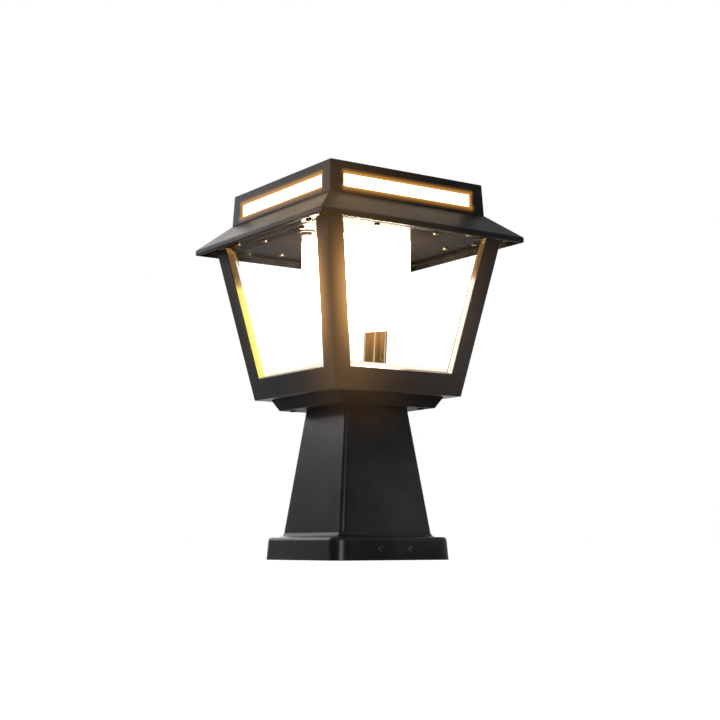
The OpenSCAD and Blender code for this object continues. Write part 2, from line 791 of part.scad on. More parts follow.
module strip_lens() {
    channel_end = 3;
    channel_gap = 1.5;
    channel_in = 1;
    channel_w = strip_w - 2 * channel_end;
    channel_h = chip_w + 2 * channel_gap;
    difference() {
        union() {
            strip_block(strip_w - 2 * fit_gap, strip_h - 2 * fit_gap,
                strip_face - strip_recess, strip_back);
            strip_block(strip_w + 2 * strip_lap, strip_h + 2 * strip_lap,
                strip_back, strip_back - lens_flange_t);
        }
        strip_block(channel_w, channel_h, strip_back + channel_in, strip_back - lens_flange_t - past);
    }
}
module strip_lens_front() { color([1, 0.93, 0.75]) strip_lens(); }
module strip_lens_right() { color([1, 0.93, 0.75]) rotate(90) strip_lens(); }
module strip_lens_back() { color([1, 0.93, 0.75]) rotate(180) strip_lens(); }
module strip_lens_left() { color([1, 0.93, 0.75]) rotate(270) strip_lens(); }

module strip_board() {
    board_out = strip_back - lens_flange_t;
    board_in = 1;
    strip_block(strip_w + 2 * (strip_lap - board_in), strip_h, board_out, board_out - board_t);
}
module strip_board_front() { color([0.9, 0.9, 0.86]) strip_board(); }
module strip_board_right() { color([0.9, 0.9, 0.86]) rotate(90) strip_board(); }
module strip_board_back() { color([0.9, 0.9, 0.86]) rotate(180) strip_board(); }
module strip_board_left() { color([0.9, 0.9, 0.86]) rotate(270) strip_board(); }

module strip_chips() {
    chip_out = strip_back - lens_flange_t;
    chip_end = 8;
    last = strip_chip_count - 1;
    pitch = (strip_w - 2 * chip_end) / last;
    color([1, 0.9, 0.45]) at_sides()
        for (i = [0:last])
            translate([(i - last / 2) * pitch - chip_w / 2, -chip_out - chip_h, z_strip - chip_w / 2])
                cube([chip_w, chip_h, chip_w]);
}

// Ceiling plate: closes the roof from below and carries the light, the button and the tray
ceiling_half = pocket_half - fit_gap;
carrier_r = diffuser_d / 2 + diffuser_flange + fit_gap + carrier_rim;
carrier_screw_r = carrier_r - carrier_rim / 2;
tray_screw_grip = 6;

module at_carrier_screws() {
    for (turn = [45:90:315]) rotate(turn) translate([carrier_screw_r, 0, 0]) children();
}
module at_tray_legs() {
    for (x = [-1, 1], y = [-1, 1])
        translate([x * (tray_x / 2 - tray_leg_in), y * (tray_y / 2 - tray_leg_in), 0]) children();
}

module ceiling_plate() {
    below = z_ceiling - past;
    deep = ceiling_t + 2 * past;
    color([0.14, 0.13, 0.12]) difference() {
        translate([-ceiling_half, -ceiling_half, z_ceiling])
            cube([2 * ceiling_half, 2 * ceiling_half, ceiling_t]);
        translate([0, 0, below]) {
            cylinder(d = diffuser_d + 2 * fit_gap, h = deep);
            at_button() cylinder(r = barrel_r + fit_gap, h = deep);
            at_corners(post_screw_at) cylinder(r = m4_pan[2] + screw_gap, h = deep);
            at_ceiling_screws() cylinder(r = m3_pan[2] + screw_gap, h = deep);
            at_carrier_screws() cylinder(r = m3_pan[2] + thread_gap, h = deep);
            at_tray_legs() cylinder(r = m3_pan[2] + thread_gap, h = deep);
        }
    }
}

module ceiling_screws() {
    color([0.08, 0.08, 0.08]) at_ceiling_screws()
        translate([0, 0, z_ceiling]) screw(m3_pan, roof_screw_len - past);
}

module ceiling_seal() {
    color([0.06, 0.06, 0.06]) translate([0, 0, z_deck])
        linear_extrude(height = ceiling_seal_t) difference() {
            square(2 * ceiling_half, center = true);
            square(2 * ledge_half, center = true);
        }
}

// Main light: a frosted cup that hangs from its flange under the light carrier
module diffuser() {
    r = diffuser_d / 2;
    inner = r - diffuser_wall;
    bottom = z_ceiling - diffuser_len;
    edge = diffuser_edge_r;
    color([1, 0.97, 0.9]) rotate_extrude() difference() {
        union() {
            translate([0, bottom + edge]) square([r, z_deck + flange_t - bottom - edge]);
            translate([0, bottom]) square([r - edge, edge + past]);
            translate([r - edge, bottom + edge]) circle(edge);
            translate([0, z_deck]) square([r + diffuser_flange, flange_t]);
        }
        translate([0, bottom + diffuser_wall]) square([inner, z_deck + flange_t - bottom]);
        translate([-2 * r, bottom - past]) square([2 * r, z_deck + flange_t - bottom + 2 * past]);
    }
}

carrier_step = 1;
board_d = diffuser_d - 2 * (carrier_step + board_gap);
chip_ring_r = board_d / 2 - chip_ring_in;
board_screw_r = board_d / 2 - board_screw_in;

module light_carrier() {
    r = diffuser_d / 2;
    seat = z_deck + flange_t;
    color([0.75, 0.76, 0.78]) difference() {
        rotate_extrude() polygon([
            [0, z_carrier],
            [r - carrier_step, z_carrier],
            [r - carrier_step, seat],
            [r + diffuser_flange + fit_gap, seat],
            [r + diffuser_flange + fit_gap, z_deck],
            [carrier_r, z_deck],
            [carrier_r, z_carrier + carrier_t],
            [0, z_carrier + carrier_t]]);
        at_carrier_screws()
            translate([0, 0, z_deck - past])
                cylinder(r = m3_pan[2] + screw_gap, h = carrier_rise + carrier_t + 2 * past);
        at_board_screws() cylinder(r = m2_pan[2] + thread_gap, h = board_t + carrier_t + past);
    }
}

module carrier_screws() {
    color([0.7, 0.7, 0.72]) at_carrier_screws()
        translate([0, 0, z_carrier + carrier_t])
            screw_down(m3_pan, carrier_rise + carrier_t + ceiling_t - tip_gap);
}

module at_board_screws() {
    for (turn = [30:120:270]) rotate(turn) translate([board_screw_r, 0, z_board]) children();
}

module light_board() {
    color([0.92, 0.92, 0.9]) difference() {
        translate([0, 0, z_board]) cylinder(d = board_d, h = board_t);
        at_board_screws()
            translate([0, 0, -past]) cylinder(r = m2_pan[2] + screw_gap, h = board_t + 2 * past);
    }
}

module board_screws() {
    color([0.7, 0.7, 0.72]) at_board_screws() screw(m2_pan, board_t + carrier_t - tip_gap);
}

module light_chips() {
    color([1, 0.9, 0.45]) {
        chip_ring(chip_ring_r, chip_count);
        chip_ring(chip_ring_r / 2, floor(chip_count / 2));
    }
}
module chip_ring(radius, count) {
    for (i = [0:count - 1])
        rotate(360 * i / count) translate([radius - chip_w / 2, -chip_w / 2, z_board - chip_h])
            cube([chip_w, chip_w, chip_h]);
}

// Button: a plunger that is pushed up into its bezel and trips the switch above it
barrel_wall = 1;
collar_out = 0.7;
plunger_r = button_d / 2;
bore_r = plunger_r + button_clear;
barrel_r = bore_r + collar_out + barrel_wall;
barrel_h = 8;
nut_wall = 1.4;
nut_r = barrel_r + nut_wall;
shoulder_up = 0.5;
shoulder_z = z_ceiling + shoulder_up;
plunger_collar_t = 2;
plunger_chamfer = 1;
plunger_top = shoulder_z + seat_gap / 2 + plunger_collar_t;
switch_gap = 0.6;
switch_z = plunger_top + button_travel + switch_gap;
switch_h = 6;
switch_lip = 1.5;
stem_r = 1.5;
stem_engage = 1;
stem_h = button_travel + switch_gap + stem_engage;

button_out_r = carrier_r + button_gap + barrel_r;
inner_screw_along = nut_r + roof_boss_r + inner_boss_gap - button_out_r * sin(button_turn);

module at_button() {
    rotate(button_turn) translate([button_out_r, 0, 0]) children();
}

module button_bezel() {
    color([0.05, 0.05, 0.05]) at_button() difference() {
        union() {
            translate([0, 0, z_ceiling - bezel_rim_t]) cylinder(d = bezel_d, h = bezel_rim_t);
            translate([0, 0, z_ceiling]) cylinder(r = barrel_r, h = barrel_h);
        }
        translate([0, 0, z_ceiling - bezel_rim_t - past])
            cylinder(r = bore_r, h = barrel_h + bezel_rim_t + 2 * past);
        translate([0, 0, shoulder_z]) cylinder(r = bore_r + collar_out, h = barrel_h + past);
    }
}

module button_nut() {
    nut_h = 3;
    color([0.7, 0.7, 0.72]) at_button() translate([0, 0, z_deck]) difference() {
        cylinder(r = nut_r, h = nut_h);
        translate([0, 0, -past]) cylinder(r = barrel_r + thread_gap, h = nut_h + 2 * past);
    }
}

module push_button() {
    low = z_ceiling - button_out;
    color([0.16, 0.15, 0.14]) at_button() rotate_extrude() polygon([
        [0, low],
        [plunger_r - plunger_chamfer, low],
        [plunger_r, low + plunger_chamfer],
        [plunger_r, plunger_top - plunger_collar_t],
        [plunger_r + collar_out - button_clear, plunger_top - plunger_collar_t],
        [plunger_r + collar_out - button_clear, plunger_top],
        [stem_r, plunger_top],
        [stem_r, plunger_top + stem_h],
        [0, plunger_top + stem_h]]);
}

module button_switch() {
    deep = plunger_top + stem_h + button_travel + tip_gap - switch_z;
    color([0.1, 0.1, 0.1]) at_button() translate([0, 0, switch_z]) difference() {
        union() {
            cylinder(r = bore_r + collar_out - thread_gap, h = switch_h);
            translate([0, 0, z_ceiling + barrel_h - switch_z]) cylinder(r = barrel_r, h = switch_lip);
        }
        translate([0, 0, -past]) cylinder(r = stem_r + button_clear, h = deep + past);
    }
}

// Battery tray: a deck on four legs over the light carrier, with a cradle for the cells
tray_x = head_bottom_w - 2 * tray_in;
tray_leg_r = 4;
cell_spacing = 0.6;
cell_end = 4;
cell_tip = 1;
battery_pitch = battery_d + cell_spacing;
battery_x0 = cell_end - tray_x / 2;
battery_z = z_tray + battery_d / 2 + fit_gap;
cradle_t = 3;
cradle_in = 10;
cradle_edge = 1;
control_space = 8;
control_x0 = battery_x0 + battery_len + control_space;
control_x = tray_x / 2 - control_end - control_x0;
control_post_in = 4;
standoff_h = 5;
standoff_r = 3;
z_control = z_tray + standoff_h;

// The cells lie side by side, and the control board stands on a post at each corner
module at_cells() {
    for (i = [0:battery_count - 1])
        translate([battery_x0, (i - (battery_count - 1) / 2) * battery_pitch, battery_z])
            rotate([0, 90, 0]) children();
}
module at_control_posts() {
    for (x = [control_post_in, control_x - control_post_in], y = [-1, 1])
        translate([control_x0 + x, y * (control_y / 2 - control_post_in), 0]) children();
}

module battery_tray() {
    legs_h = tray_rise + tray_t;
    cradle_w = battery_count * battery_pitch + 2 * cradle_edge;
    color([0.15, 0.15, 0.16]) difference() {
        union() {
            translate([-tray_x / 2, -tray_y / 2, z_tray - tray_t]) cube([tray_x, tray_y, tray_t]);
            at_tray_legs() translate([0, 0, z_deck]) cylinder(r = tray_leg_r, h = legs_h);
            for (x = [cradle_in, battery_len - cradle_in - cradle_t])
                translate([battery_x0 + x, -cradle_w / 2, z_tray - tray_t])
                    cube([cradle_t, cradle_w, tray_t + battery_d / 2]);
        }
        at_cells()
            translate([0, 0, -past]) cylinder(d = battery_d + 2 * seat_gap, h = battery_len + 2 * past);
        at_tray_legs()
            translate([0, 0, z_deck - past]) cylinder(r = m3_pan[2] + screw_gap, h = legs_h + 2 * past);
        at_control_posts()
            translate([0, 0, z_tray - tray_t - past])
                cylinder(r = m2_pan[2] + thread_gap, h = tray_t + 2 * past);
    }
}

module tray_screws() {
    color([0.7, 0.7, 0.72]) at_tray_legs()
        translate([0, 0, z_tray]) screw_down(m3_pan, tray_rise + tray_t + ceiling_t - tip_gap);
}

module battery_cells() {
    color([0.2, 0.45, 0.3]) at_cells() {
        cylinder(d = battery_d, h = battery_len - cell_tip);
        cylinder(d = battery_d / 3, h = battery_len);
    }
}

module board_posts() {
    color([0.75, 0.68, 0.4]) at_control_posts() translate([0, 0, z_tray]) {
        translate([0, 0, -tray_t]) cylinder(r = m2_pan[2], h = tray_t + standoff_h + board_t);
        cylinder(r = standoff_r, h = standoff_h, $fn = 6);
        translate([0, 0, standoff_h + board_t]) cylinder(r = m2_pan[0], h = m2_pan[1]);
    }
}

module control_board() {
    color([0.1, 0.35, 0.2]) difference() {
        translate([control_x0, -control_y / 2, z_control]) cube([control_x, control_y, board_t]);
        at_control_posts()
            translate([0, 0, z_control - past])
                cylinder(r = m2_pan[2] + thread_gap, h = board_t + 2 * past);
    }
}

// Parts of the control board: charge controller, inductor, capacitor and three terminals
chip_block = [10, 10, 1.6];
inductor = [5, 6];
capacitor = [4, 12];
terminal = [8, 10, 7];
terminal_pitch = 14;
terminal_in = 11;
part_in = 14;
part_pitch = 16;
module control_parts() {
    color([0.2, 0.2, 0.22]) translate([control_x0, 0, z_control + board_t]) {
        translate([part_in - chip_block[0] / 2, -chip_block[1] / 2, 0]) cube(chip_block);
        translate([part_in, -part_pitch, 0]) cylinder(r = inductor[0], h = inductor[1]);
        translate([part_in, part_pitch, 0]) cylinder(r = capacitor[0], h = capacitor[1]);
        for (i = [-1:1])
            translate([control_x - terminal_in - terminal[0], i * terminal_pitch - terminal[1] / 2, 0])
                cube(terminal);
    }
}

// Solar panel: glass, cells and backing on a seal in the head's top
panel_half = recess_half - fit_gap;
module panel_sheet(z, thickness) {
    translate([-panel_half, -panel_half, z]) cube([2 * panel_half, 2 * panel_half, thickness]);
}

module panel_seal() {
    seal_in = 1;
    color([0.06, 0.06, 0.06]) translate([0, 0, z_shelf])
        linear_extrude(height = panel_seal_t) difference() {
            square(2 * panel_half, center = true);
            square(2 * (shelf_half + seal_in), center = true);
        }
}

module panel_backing() {
    color([0.9, 0.9, 0.9]) panel_sheet(z_backing, backing_t);
}

module solar_cells() {
    border = 5;
    pitch = 2 * (panel_half - border) / cells_across;
    cell_w = pitch - cell_gap;
    color([0.05, 0.07, 0.15]) translate([border - panel_half, border - panel_half, z_backing + backing_t])
        for (i = [0:cells_across - 1], j = [0:cells_across - 1])
            translate([i * pitch + cell_gap / 2, j * pitch + cell_gap / 2, 0])
                cube([cell_w, cell_w, cell_t]);
}

module panel_glass() {
    color([0.8, 0.88, 0.95, 0.35]) panel_sheet(z_glass, glass_t);
}

mounting_plate();
base_screws();
pedestal();
collar();
collar_screws();
neck_screws();
lantern_frame();
reflector_posts();
floor_reflector();
reflector_screws();
pane_front();
pane_right();
pane_back();
pane_left();
glazing_beads();
post_screws();
ceiling_plate();
ceiling_screws();
ceiling_seal();
roof_shell();
roof_head();
head_screws();
strip_lens_front();
strip_lens_right();
strip_lens_back();
strip_lens_left();
strip_board_front();
strip_board_right();
strip_board_back();
strip_board_left();
strip_chips();
diffuser();
light_carrier();
carrier_screws();
light_board();
light_chips();
board_screws();
button_bezel();
button_nut();
push_button();
button_switch();
battery_tray();
tray_screws();
battery_cells();
control_board();
control_parts();
board_posts();
panel_seal();
panel_backing();
solar_cells();
panel_glass();
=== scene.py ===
"""Looks of a square solar pillar lamp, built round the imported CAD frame.

Finishes come first, then the pieces made here, then the floor, lights and camera.
Lengths are in metres, in the CAD model's own frame: +Z up, -Y the front face, -X the left face.
"""

import json
import math

import bmesh
import bpy
import numpy as np
from mathutils import Matrix, Vector


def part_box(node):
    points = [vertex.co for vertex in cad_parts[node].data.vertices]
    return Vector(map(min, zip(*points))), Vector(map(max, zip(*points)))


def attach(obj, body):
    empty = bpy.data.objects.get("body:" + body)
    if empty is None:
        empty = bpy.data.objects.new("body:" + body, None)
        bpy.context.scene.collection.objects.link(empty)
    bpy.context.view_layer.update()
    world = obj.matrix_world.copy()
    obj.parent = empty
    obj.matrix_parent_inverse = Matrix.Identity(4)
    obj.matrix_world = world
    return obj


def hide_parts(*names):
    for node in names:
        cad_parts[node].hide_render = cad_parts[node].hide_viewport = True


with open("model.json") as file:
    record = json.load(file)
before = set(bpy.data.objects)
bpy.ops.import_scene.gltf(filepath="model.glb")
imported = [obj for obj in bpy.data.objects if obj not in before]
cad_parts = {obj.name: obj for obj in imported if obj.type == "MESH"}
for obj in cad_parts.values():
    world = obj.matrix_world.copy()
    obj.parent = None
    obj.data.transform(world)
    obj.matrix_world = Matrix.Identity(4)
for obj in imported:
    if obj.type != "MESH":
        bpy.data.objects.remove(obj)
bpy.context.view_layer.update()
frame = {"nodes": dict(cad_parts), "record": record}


# Sizes of the lantern casting: its box as packed, its width at the foot, and its posts' section

lantern_low, lantern_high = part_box("lantern_frame")
floor_z = lantern_low.z
ceiling_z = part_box("ceiling_plate")[0].z
top_half = lantern_high.x
bottom_half = 0.0777
lean = (top_half - bottom_half) / (ceiling_z - floor_z)
sill_z = floor_z + 0.0217
post_leg, post_depth, post_round = 0.019, 0.0081, 0.006


# Helpers for node trees


def add(tree, kind, inputs=None, **settings):
    """Adds one node, sets its settings, then links or sets each named or numbered input."""
    made = tree.nodes.new(kind)
    for key, value in settings.items():
        setattr(made, key, value)
    for key, value in (inputs or {}).items():
        if isinstance(value, bpy.types.NodeSocket):
            tree.links.new(value, made.inputs[key])
        else:
            made.inputs[key].default_value = value
    return made


def maths(tree, operation, first, second=0.0, clamp=False):
    """One Math node, given by its operation."""
    made = add(tree, "ShaderNodeMath", {0: first, 1: second}, operation=operation, use_clamp=clamp)
    return made.outputs[0]


def vector_maths(tree, operation, first, second, output="Vector"):
    """One Vector Math node for two vectors, given by its operation."""
    return add(tree, "ShaderNodeVectorMath", {0: first, 1: second}, operation=operation).outputs[output]


def length_of(tree, vector):
    """Length of a vector."""
    return add(tree, "ShaderNodeVectorMath", {0: vector}, operation="LENGTH").outputs["Value"]


def split_axes(tree, vector):
    """The X, Y and Z outputs of a vector."""
    return add(tree, "ShaderNodeSeparateXYZ", {0: vector}).outputs


def between(tree, value, low, high, to_low=0.0, to_high=1.0):
    """Maps value from low..high to to_low..to_high, smoothly and held at both ends."""
    inputs = {"Value": value, "From Min": low, "From Max": high, "To Min": to_low, "To Max": to_high}
    return add(tree, "ShaderNodeMapRange", inputs, interpolation_type="SMOOTHSTEP").outputs["Result"]


def blend_colours(tree, share, first, second):
    """Colour that goes from first to second as share goes from 0 to 1."""
    mix = add(tree, "ShaderNodeMix", data_type="RGBA")
    for socket, value in ((mix.inputs["Factor"], share), (mix.inputs[6], first), (mix.inputs[7], second)):
        if isinstance(value, bpy.types.NodeSocket):
            tree.links.new(value, socket)
        else:
            socket.default_value = value if socket.type == "VALUE" else (*value[:3], 1.0)
    return mix.outputs[2]


def add_colours(tree, share, first, second):
    """First colour with a share of the second added to it."""
    mix = add(tree, "ShaderNodeMix", data_type="RGBA", blend_type="ADD")
    tree.links.new(share, mix.inputs["Factor"])
    tree.links.new(first, mix.inputs[6])
    mix.inputs[7].default_value = (*second, 1.0)
    return mix.outputs[2]


def noise(tree, vector, scale, detail=3.0, roughness=0.55):
    """Value of a fractal noise at a scale given in cycles a metre."""
    inputs = {"Vector": vector, "Scale": scale, "Detail": detail, "Roughness": roughness}
    return add(tree, "ShaderNodeTexNoise", inputs).outputs[0]


def new_group(name, inputs, outputs):
    """An empty group with its named input and output sockets; returns the tree and both end nodes."""
    tree = bpy.data.node_groups.new(name, "ShaderNodeTree")
    for label, kind, start in inputs:
        socket = tree.interface.new_socket(label, in_out="INPUT", socket_type=kind)
        if start is not None:
            socket.default_value = start
    for label, kind in outputs:
        tree.interface.new_socket(label, in_out="OUTPUT", socket_type=kind)
    return tree, tree.nodes.new("NodeGroupInput").outputs, tree.nodes.new("NodeGroupOutput").inputs


def use_group(tree, group, inputs):
    """Places a group in a material with that material's own values; returns its outputs."""
    placed = tree.nodes.new("ShaderNodeGroup")
    placed.node_tree = group
    for key, value in inputs.items():
        if isinstance(value, bpy.types.NodeSocket):
            tree.links.new(value, placed.inputs[key])
        else:
            placed.inputs[key].default_value = value
    return placed.outputs


# Effects that several finishes share

FLOAT = "NodeSocketFloat"
VECTOR = "NodeSocketVector"

# Painted light and shade: the lamp's light on its own coat, painted on as emission by where it falls
BLACK = (0.0, 0.0, 0.0)
HALO_LIGHT = (1.0, 0.5, 0.16)
SLOT_LIGHT = (1.0, 0.43, 0.065)
POST_LIGHT = (0.5, 0.25, 0.075)
INSIDE_LAMPLIT_BROWN = (0.3, 0.15, 0.04)
# Painted blown-out highlight on a rear face
BLOWN_OUT_PALE = (1.0, 0.97, 0.9)
REAR_LAMPLIT_BROWN = (0.42, 0.18, 0.05)
REAR_SHADE = (0.13, 0.06, 0.012)
# Painted highlight line down the rear posts' inside corners
REAR_GLINT_GOLD = (0.8, 0.52, 0.23)
REAR_SHADE_TOP, REAR_SHADE_FOOT = 0.258, 0.222

# What shows through or lies on the coat
BARE_METAL = (0.16, 0.155, 0.15)
DUST_GREY = (0.3, 0.28, 0.25)


def make_coat_grain():
    """Orange peel of a baked powder coat: broad ripples, fine grit and a slow drift of tone."""
    tree, given, out = new_group(
        "coat_grain",
        [("Vector", VECTOR, None), ("Peel Scale", FLOAT, 520.0), ("Grit Scale", FLOAT, 2400.0),
         ("Grit Share", FLOAT, 0.35)],
        [("Height", FLOAT), ("Tone", FLOAT), ("Drift", FLOAT)])
    peel = noise(tree, given["Vector"], given["Peel Scale"], 2.0)
    grit = noise(tree, given["Vector"], given["Grit Scale"], 2.0)
    rough = maths(tree, "MULTIPLY", grit, given["Grit Share"])
    tree.links.new(maths(tree, "ADD", peel, rough), out["Height"])
    tree.links.new(between(tree, grit, 0.35, 0.68), out["Tone"])
    tree.links.new(between(tree, noise(tree, given["Vector"], 22.0, 4.0), 0.3, 0.7), out["Drift"])
    return tree


def make_edge_wear():
    """Mask of worn edges: where the rounded normal parts from the true one, broken up by noise."""
    tree, given, out = new_group(
        "edge_wear",
        [("Vector", VECTOR, None), ("Radius", FLOAT, 0.0008), ("Amount", FLOAT, 0.5)],
        [("Mask", FLOAT), ("Soft Normal", VECTOR)])
    rounded = add(tree, "ShaderNodeBevel", {"Radius": given["Radius"]}, samples=4).outputs[0]
    true = add(tree, "ShaderNodeNewGeometry").outputs["Normal"]
    match = vector_maths(tree, "DOT_PRODUCT", rounded, true, "Value")
    edge = between(tree, match, 0.995, 0.9)
    patches = between(tree, noise(tree, given["Vector"], 260.0, 5.0), 0.42, 0.62)
    broken = maths(tree, "MULTIPLY", edge, patches)
    tree.links.new(maths(tree, "MULTIPLY", broken, given["Amount"], True), out["Mask"])
    tree.links.new(rounded, out["Soft Normal"])
    return tree


def make_settled_dust():
    """Mask of dust: it lies on faces that look up, in uneven drifts with a few larger specks."""
    tree, given, out = new_group(
        "settled_dust",
        [("Vector", VECTOR, None), ("Amount", FLOAT, 0.3)],
        [("Mask", FLOAT)])
    normal = add(tree, "ShaderNodeNewGeometry").outputs["Normal"]
    upward = split_axes(tree, normal)["Z"]
    lies = between(tree, upward, 0.15, 0.95)
    drifts = between(tree, noise(tree, given["Vector"], 45.0, 6.0, 0.7), 0.35, 0.75)
    specks = between(tree, noise(tree, given["Vector"], 1500.0, 2.0), 0.66, 0.72)
    cover = maths(tree, "MULTIPLY_ADD", specks, 0.6)
    tree.links.new(drifts, cover.node.inputs[2])
    laid = maths(tree, "MULTIPLY", lies, cover)
    tree.links.new(maths(tree, "MULTIPLY", laid, given["Amount"], True), out["Mask"])
    return tree


def make_handling_marks():
    """Roughness that wanders as on a wiped surface: broad smears and faint long streaks."""
    tree, given, out = new_group(
        "handling_marks",
        [("Vector", VECTOR, None), ("Middle", FLOAT, 0.4), ("Swing", FLOAT, 0.08),
         ("Streaks", FLOAT, 0.5)],
        [("Roughness", FLOAT)])
    smears = between(tree, noise(tree, given["Vector"], 16.0, 5.0, 0.6), 0.3, 0.7, -1.0, 1.0)
    stretched = add(tree, "ShaderNodeMapping", {"Vector": given["Vector"], "Scale": (240.0, 240.0, 18.0)})
    streaks = between(tree, noise(tree, stretched.outputs[0], 1.0, 3.0), 0.35, 0.65, -1.0, 1.0)
    streaks = maths(tree, "MULTIPLY", streaks, given["Streaks"])
    swing = maths(tree, "MULTIPLY", maths(tree, "ADD", smears, streaks), given["Swing"])
    tree.links.new(maths(tree, "ADD", given["Middle"], swing, True), out["Roughness"])
    return tree


def make_lamp_halo():
    """Share of a painted glow that falls away from a lit place: (1 - distance / Reach) to the power Fall.

    The offset from the centre is scaled by Squash first, so a small part there draws the glow out.
    """
    tree, given, out = new_group(
        "lamp_halo",
        [("Vector", VECTOR, None), ("Centre", VECTOR, (-0.06, -0.06, 0.29)),
         ("Squash", VECTOR, (1.0, 1.0, 1.0)), ("Reach", FLOAT, 0.15), ("Fall", FLOAT, 2.0)],
        [("Share", FLOAT)])
    offset = vector_maths(tree, "SUBTRACT", given["Vector"], given["Centre"])
    drawn = vector_maths(tree, "MULTIPLY", offset, given["Squash"])
    share = maths(tree, "DIVIDE", length_of(tree, drawn), given["Reach"])
    near = maths(tree, "SUBTRACT", 1.0, share, True)
    tree.links.new(maths(tree, "POWER", near, given["Fall"]), out["Share"])
    return tree


def make_slot_glow():
    """Share of a painted glow round the strip openings: (1 - distance / Reach) squared, shorter above and
    at the ends.
    """
    tree, given, out = new_group(
        "slot_glow",
        [("Vector", VECTOR, None), ("Half Width", FLOAT, 0.0786), ("Low", FLOAT, 0.3624),
         ("High", FLOAT, 0.3769), ("Reach", FLOAT, 0.0065)],
        [("Share", FLOAT)])
    shorter_above, shorter_ends = 1.2, 1.6
    parts = split_axes(tree, given["Vector"])
    wide, deep = (maths(tree, "ABSOLUTE", parts[axis]) for axis in "XY")
    along = maths(tree, "MINIMUM", wide, deep)
    past_end = maths(tree, "SUBTRACT", along, given["Half Width"])
    past_low = maths(tree, "SUBTRACT", given["Low"], parts["Z"])
    past_high = maths(tree, "SUBTRACT", parts["Z"], given["High"])
    beside = maths(tree, "MAXIMUM", past_end, 0.0)
    outside = maths(tree, "MAXIMUM", maths(tree, "MAXIMUM", past_low, past_high), 0.0)
    to_low = add(tree, "ShaderNodeCombineXYZ", {"X": beside, "Y": past_low}).outputs[0]
    to_high = add(tree, "ShaderNodeCombineXYZ", {"X": beside, "Y": past_high}).outputs[0]
    to_end = add(tree, "ShaderNodeCombineXYZ", {"X": past_end, "Y": outside}).outputs[0]
    near_low, near_high, near_end = (length_of(tree, gap) for gap in (to_low, to_high, to_end))
    far = maths(tree, "MINIMUM", near_low, maths(tree, "MULTIPLY", near_end, shorter_ends))
    far = maths(tree, "MINIMUM", far, maths(tree, "MULTIPLY", near_high, shorter_above))
    near = maths(tree, "SUBTRACT", 1.0, maths(tree, "DIVIDE", far, given["Reach"]), True)
    tree.links.new(maths(tree, "POWER", near, 2.0), out["Share"])
    return tree


def make_post_glow():
    """Masks for lamp light painted on the lantern's posts, by the raked opening's edge: |along| = half(z)
    - leg.

    Front is strongest at that edge of the outer faces and falls towards the corner. Inside covers what
    lies behind the outer faces. Line marks the inside corner, where a painted highlight line goes. Depth
    is how far a point lies behind them.
    """
    tree, given, out = new_group(
        "post_glow",
        [("Vector", VECTOR, None), ("Floor", FLOAT, floor_z), ("Half", FLOAT, bottom_half),
         ("Lean", FLOAT, 0.188), ("Leg", FLOAT, post_leg), ("Reach", FLOAT, 0.019)],
        [("Front", FLOAT), ("Inside", FLOAT), ("Line", FLOAT), ("Depth", FLOAT)])
    parts = split_axes(tree, given["Vector"])
    wide, deep = (maths(tree, "ABSOLUTE", parts[axis]) for axis in "XY")
    along, out_to = maths(tree, "MINIMUM", wide, deep), maths(tree, "MAXIMUM", wide, deep)
    height = maths(tree, "SUBTRACT", parts["Z"], given["Floor"])
    half = maths(tree, "ADD", maths(tree, "MULTIPLY", height, given["Lean"]), given["Half"])
    off = maths(tree, "SUBTRACT", along, maths(tree, "SUBTRACT", half, given["Leg"]))
    near = maths(tree, "SUBTRACT", 1.0, maths(tree, "DIVIDE", off, given["Reach"]), True)
    rising, falling = between(tree, height, 0.012, 0.085), between(tree, height, 0.165, 0.1)
    window = maths(tree, "MULTIPLY", rising, falling)
    tree.links.new(maths(tree, "MULTIPLY", maths(tree, "POWER", near, 1.6), window), out["Front"])
    depth = maths(tree, "SUBTRACT", half, out_to)
    tree.links.new(depth, out["Depth"])
    behind = between(tree, depth, 0.0006, 0.002)
    above = between(tree, height, 0.02, 0.024)
    tree.links.new(maths(tree, "MULTIPLY", behind, above), out["Inside"])
    middle = maths(tree, "ABSOLUTE", maths(tree, "SUBTRACT", wide, deep))
    tree.links.new(between(tree, middle, 0.0012, 0.0006), out["Line"])
    return tree


coat_grain = make_coat_grain()
edge_wear = make_edge_wear()
settled_dust = make_settled_dust()
handling_marks = make_handling_marks()
lamp_halo = make_lamp_halo()
slot_glow = make_slot_glow()
post_glow = make_post_glow()


# Finishes


def new_finish(name, **plain):
    """A material with one Principled shader, its constants set on its own sockets."""
    made = bpy.data.materials.new(name)
    made.use_nodes = True
    tree = made.node_tree
    shader = tree.nodes["Principled BSDF"]
    for key, value in plain.items():
        shader.inputs[key.replace("_", " ")].default_value = value
    where = add(tree, "ShaderNodeTexCoord").outputs["Object"]
    return made, tree, shader, where


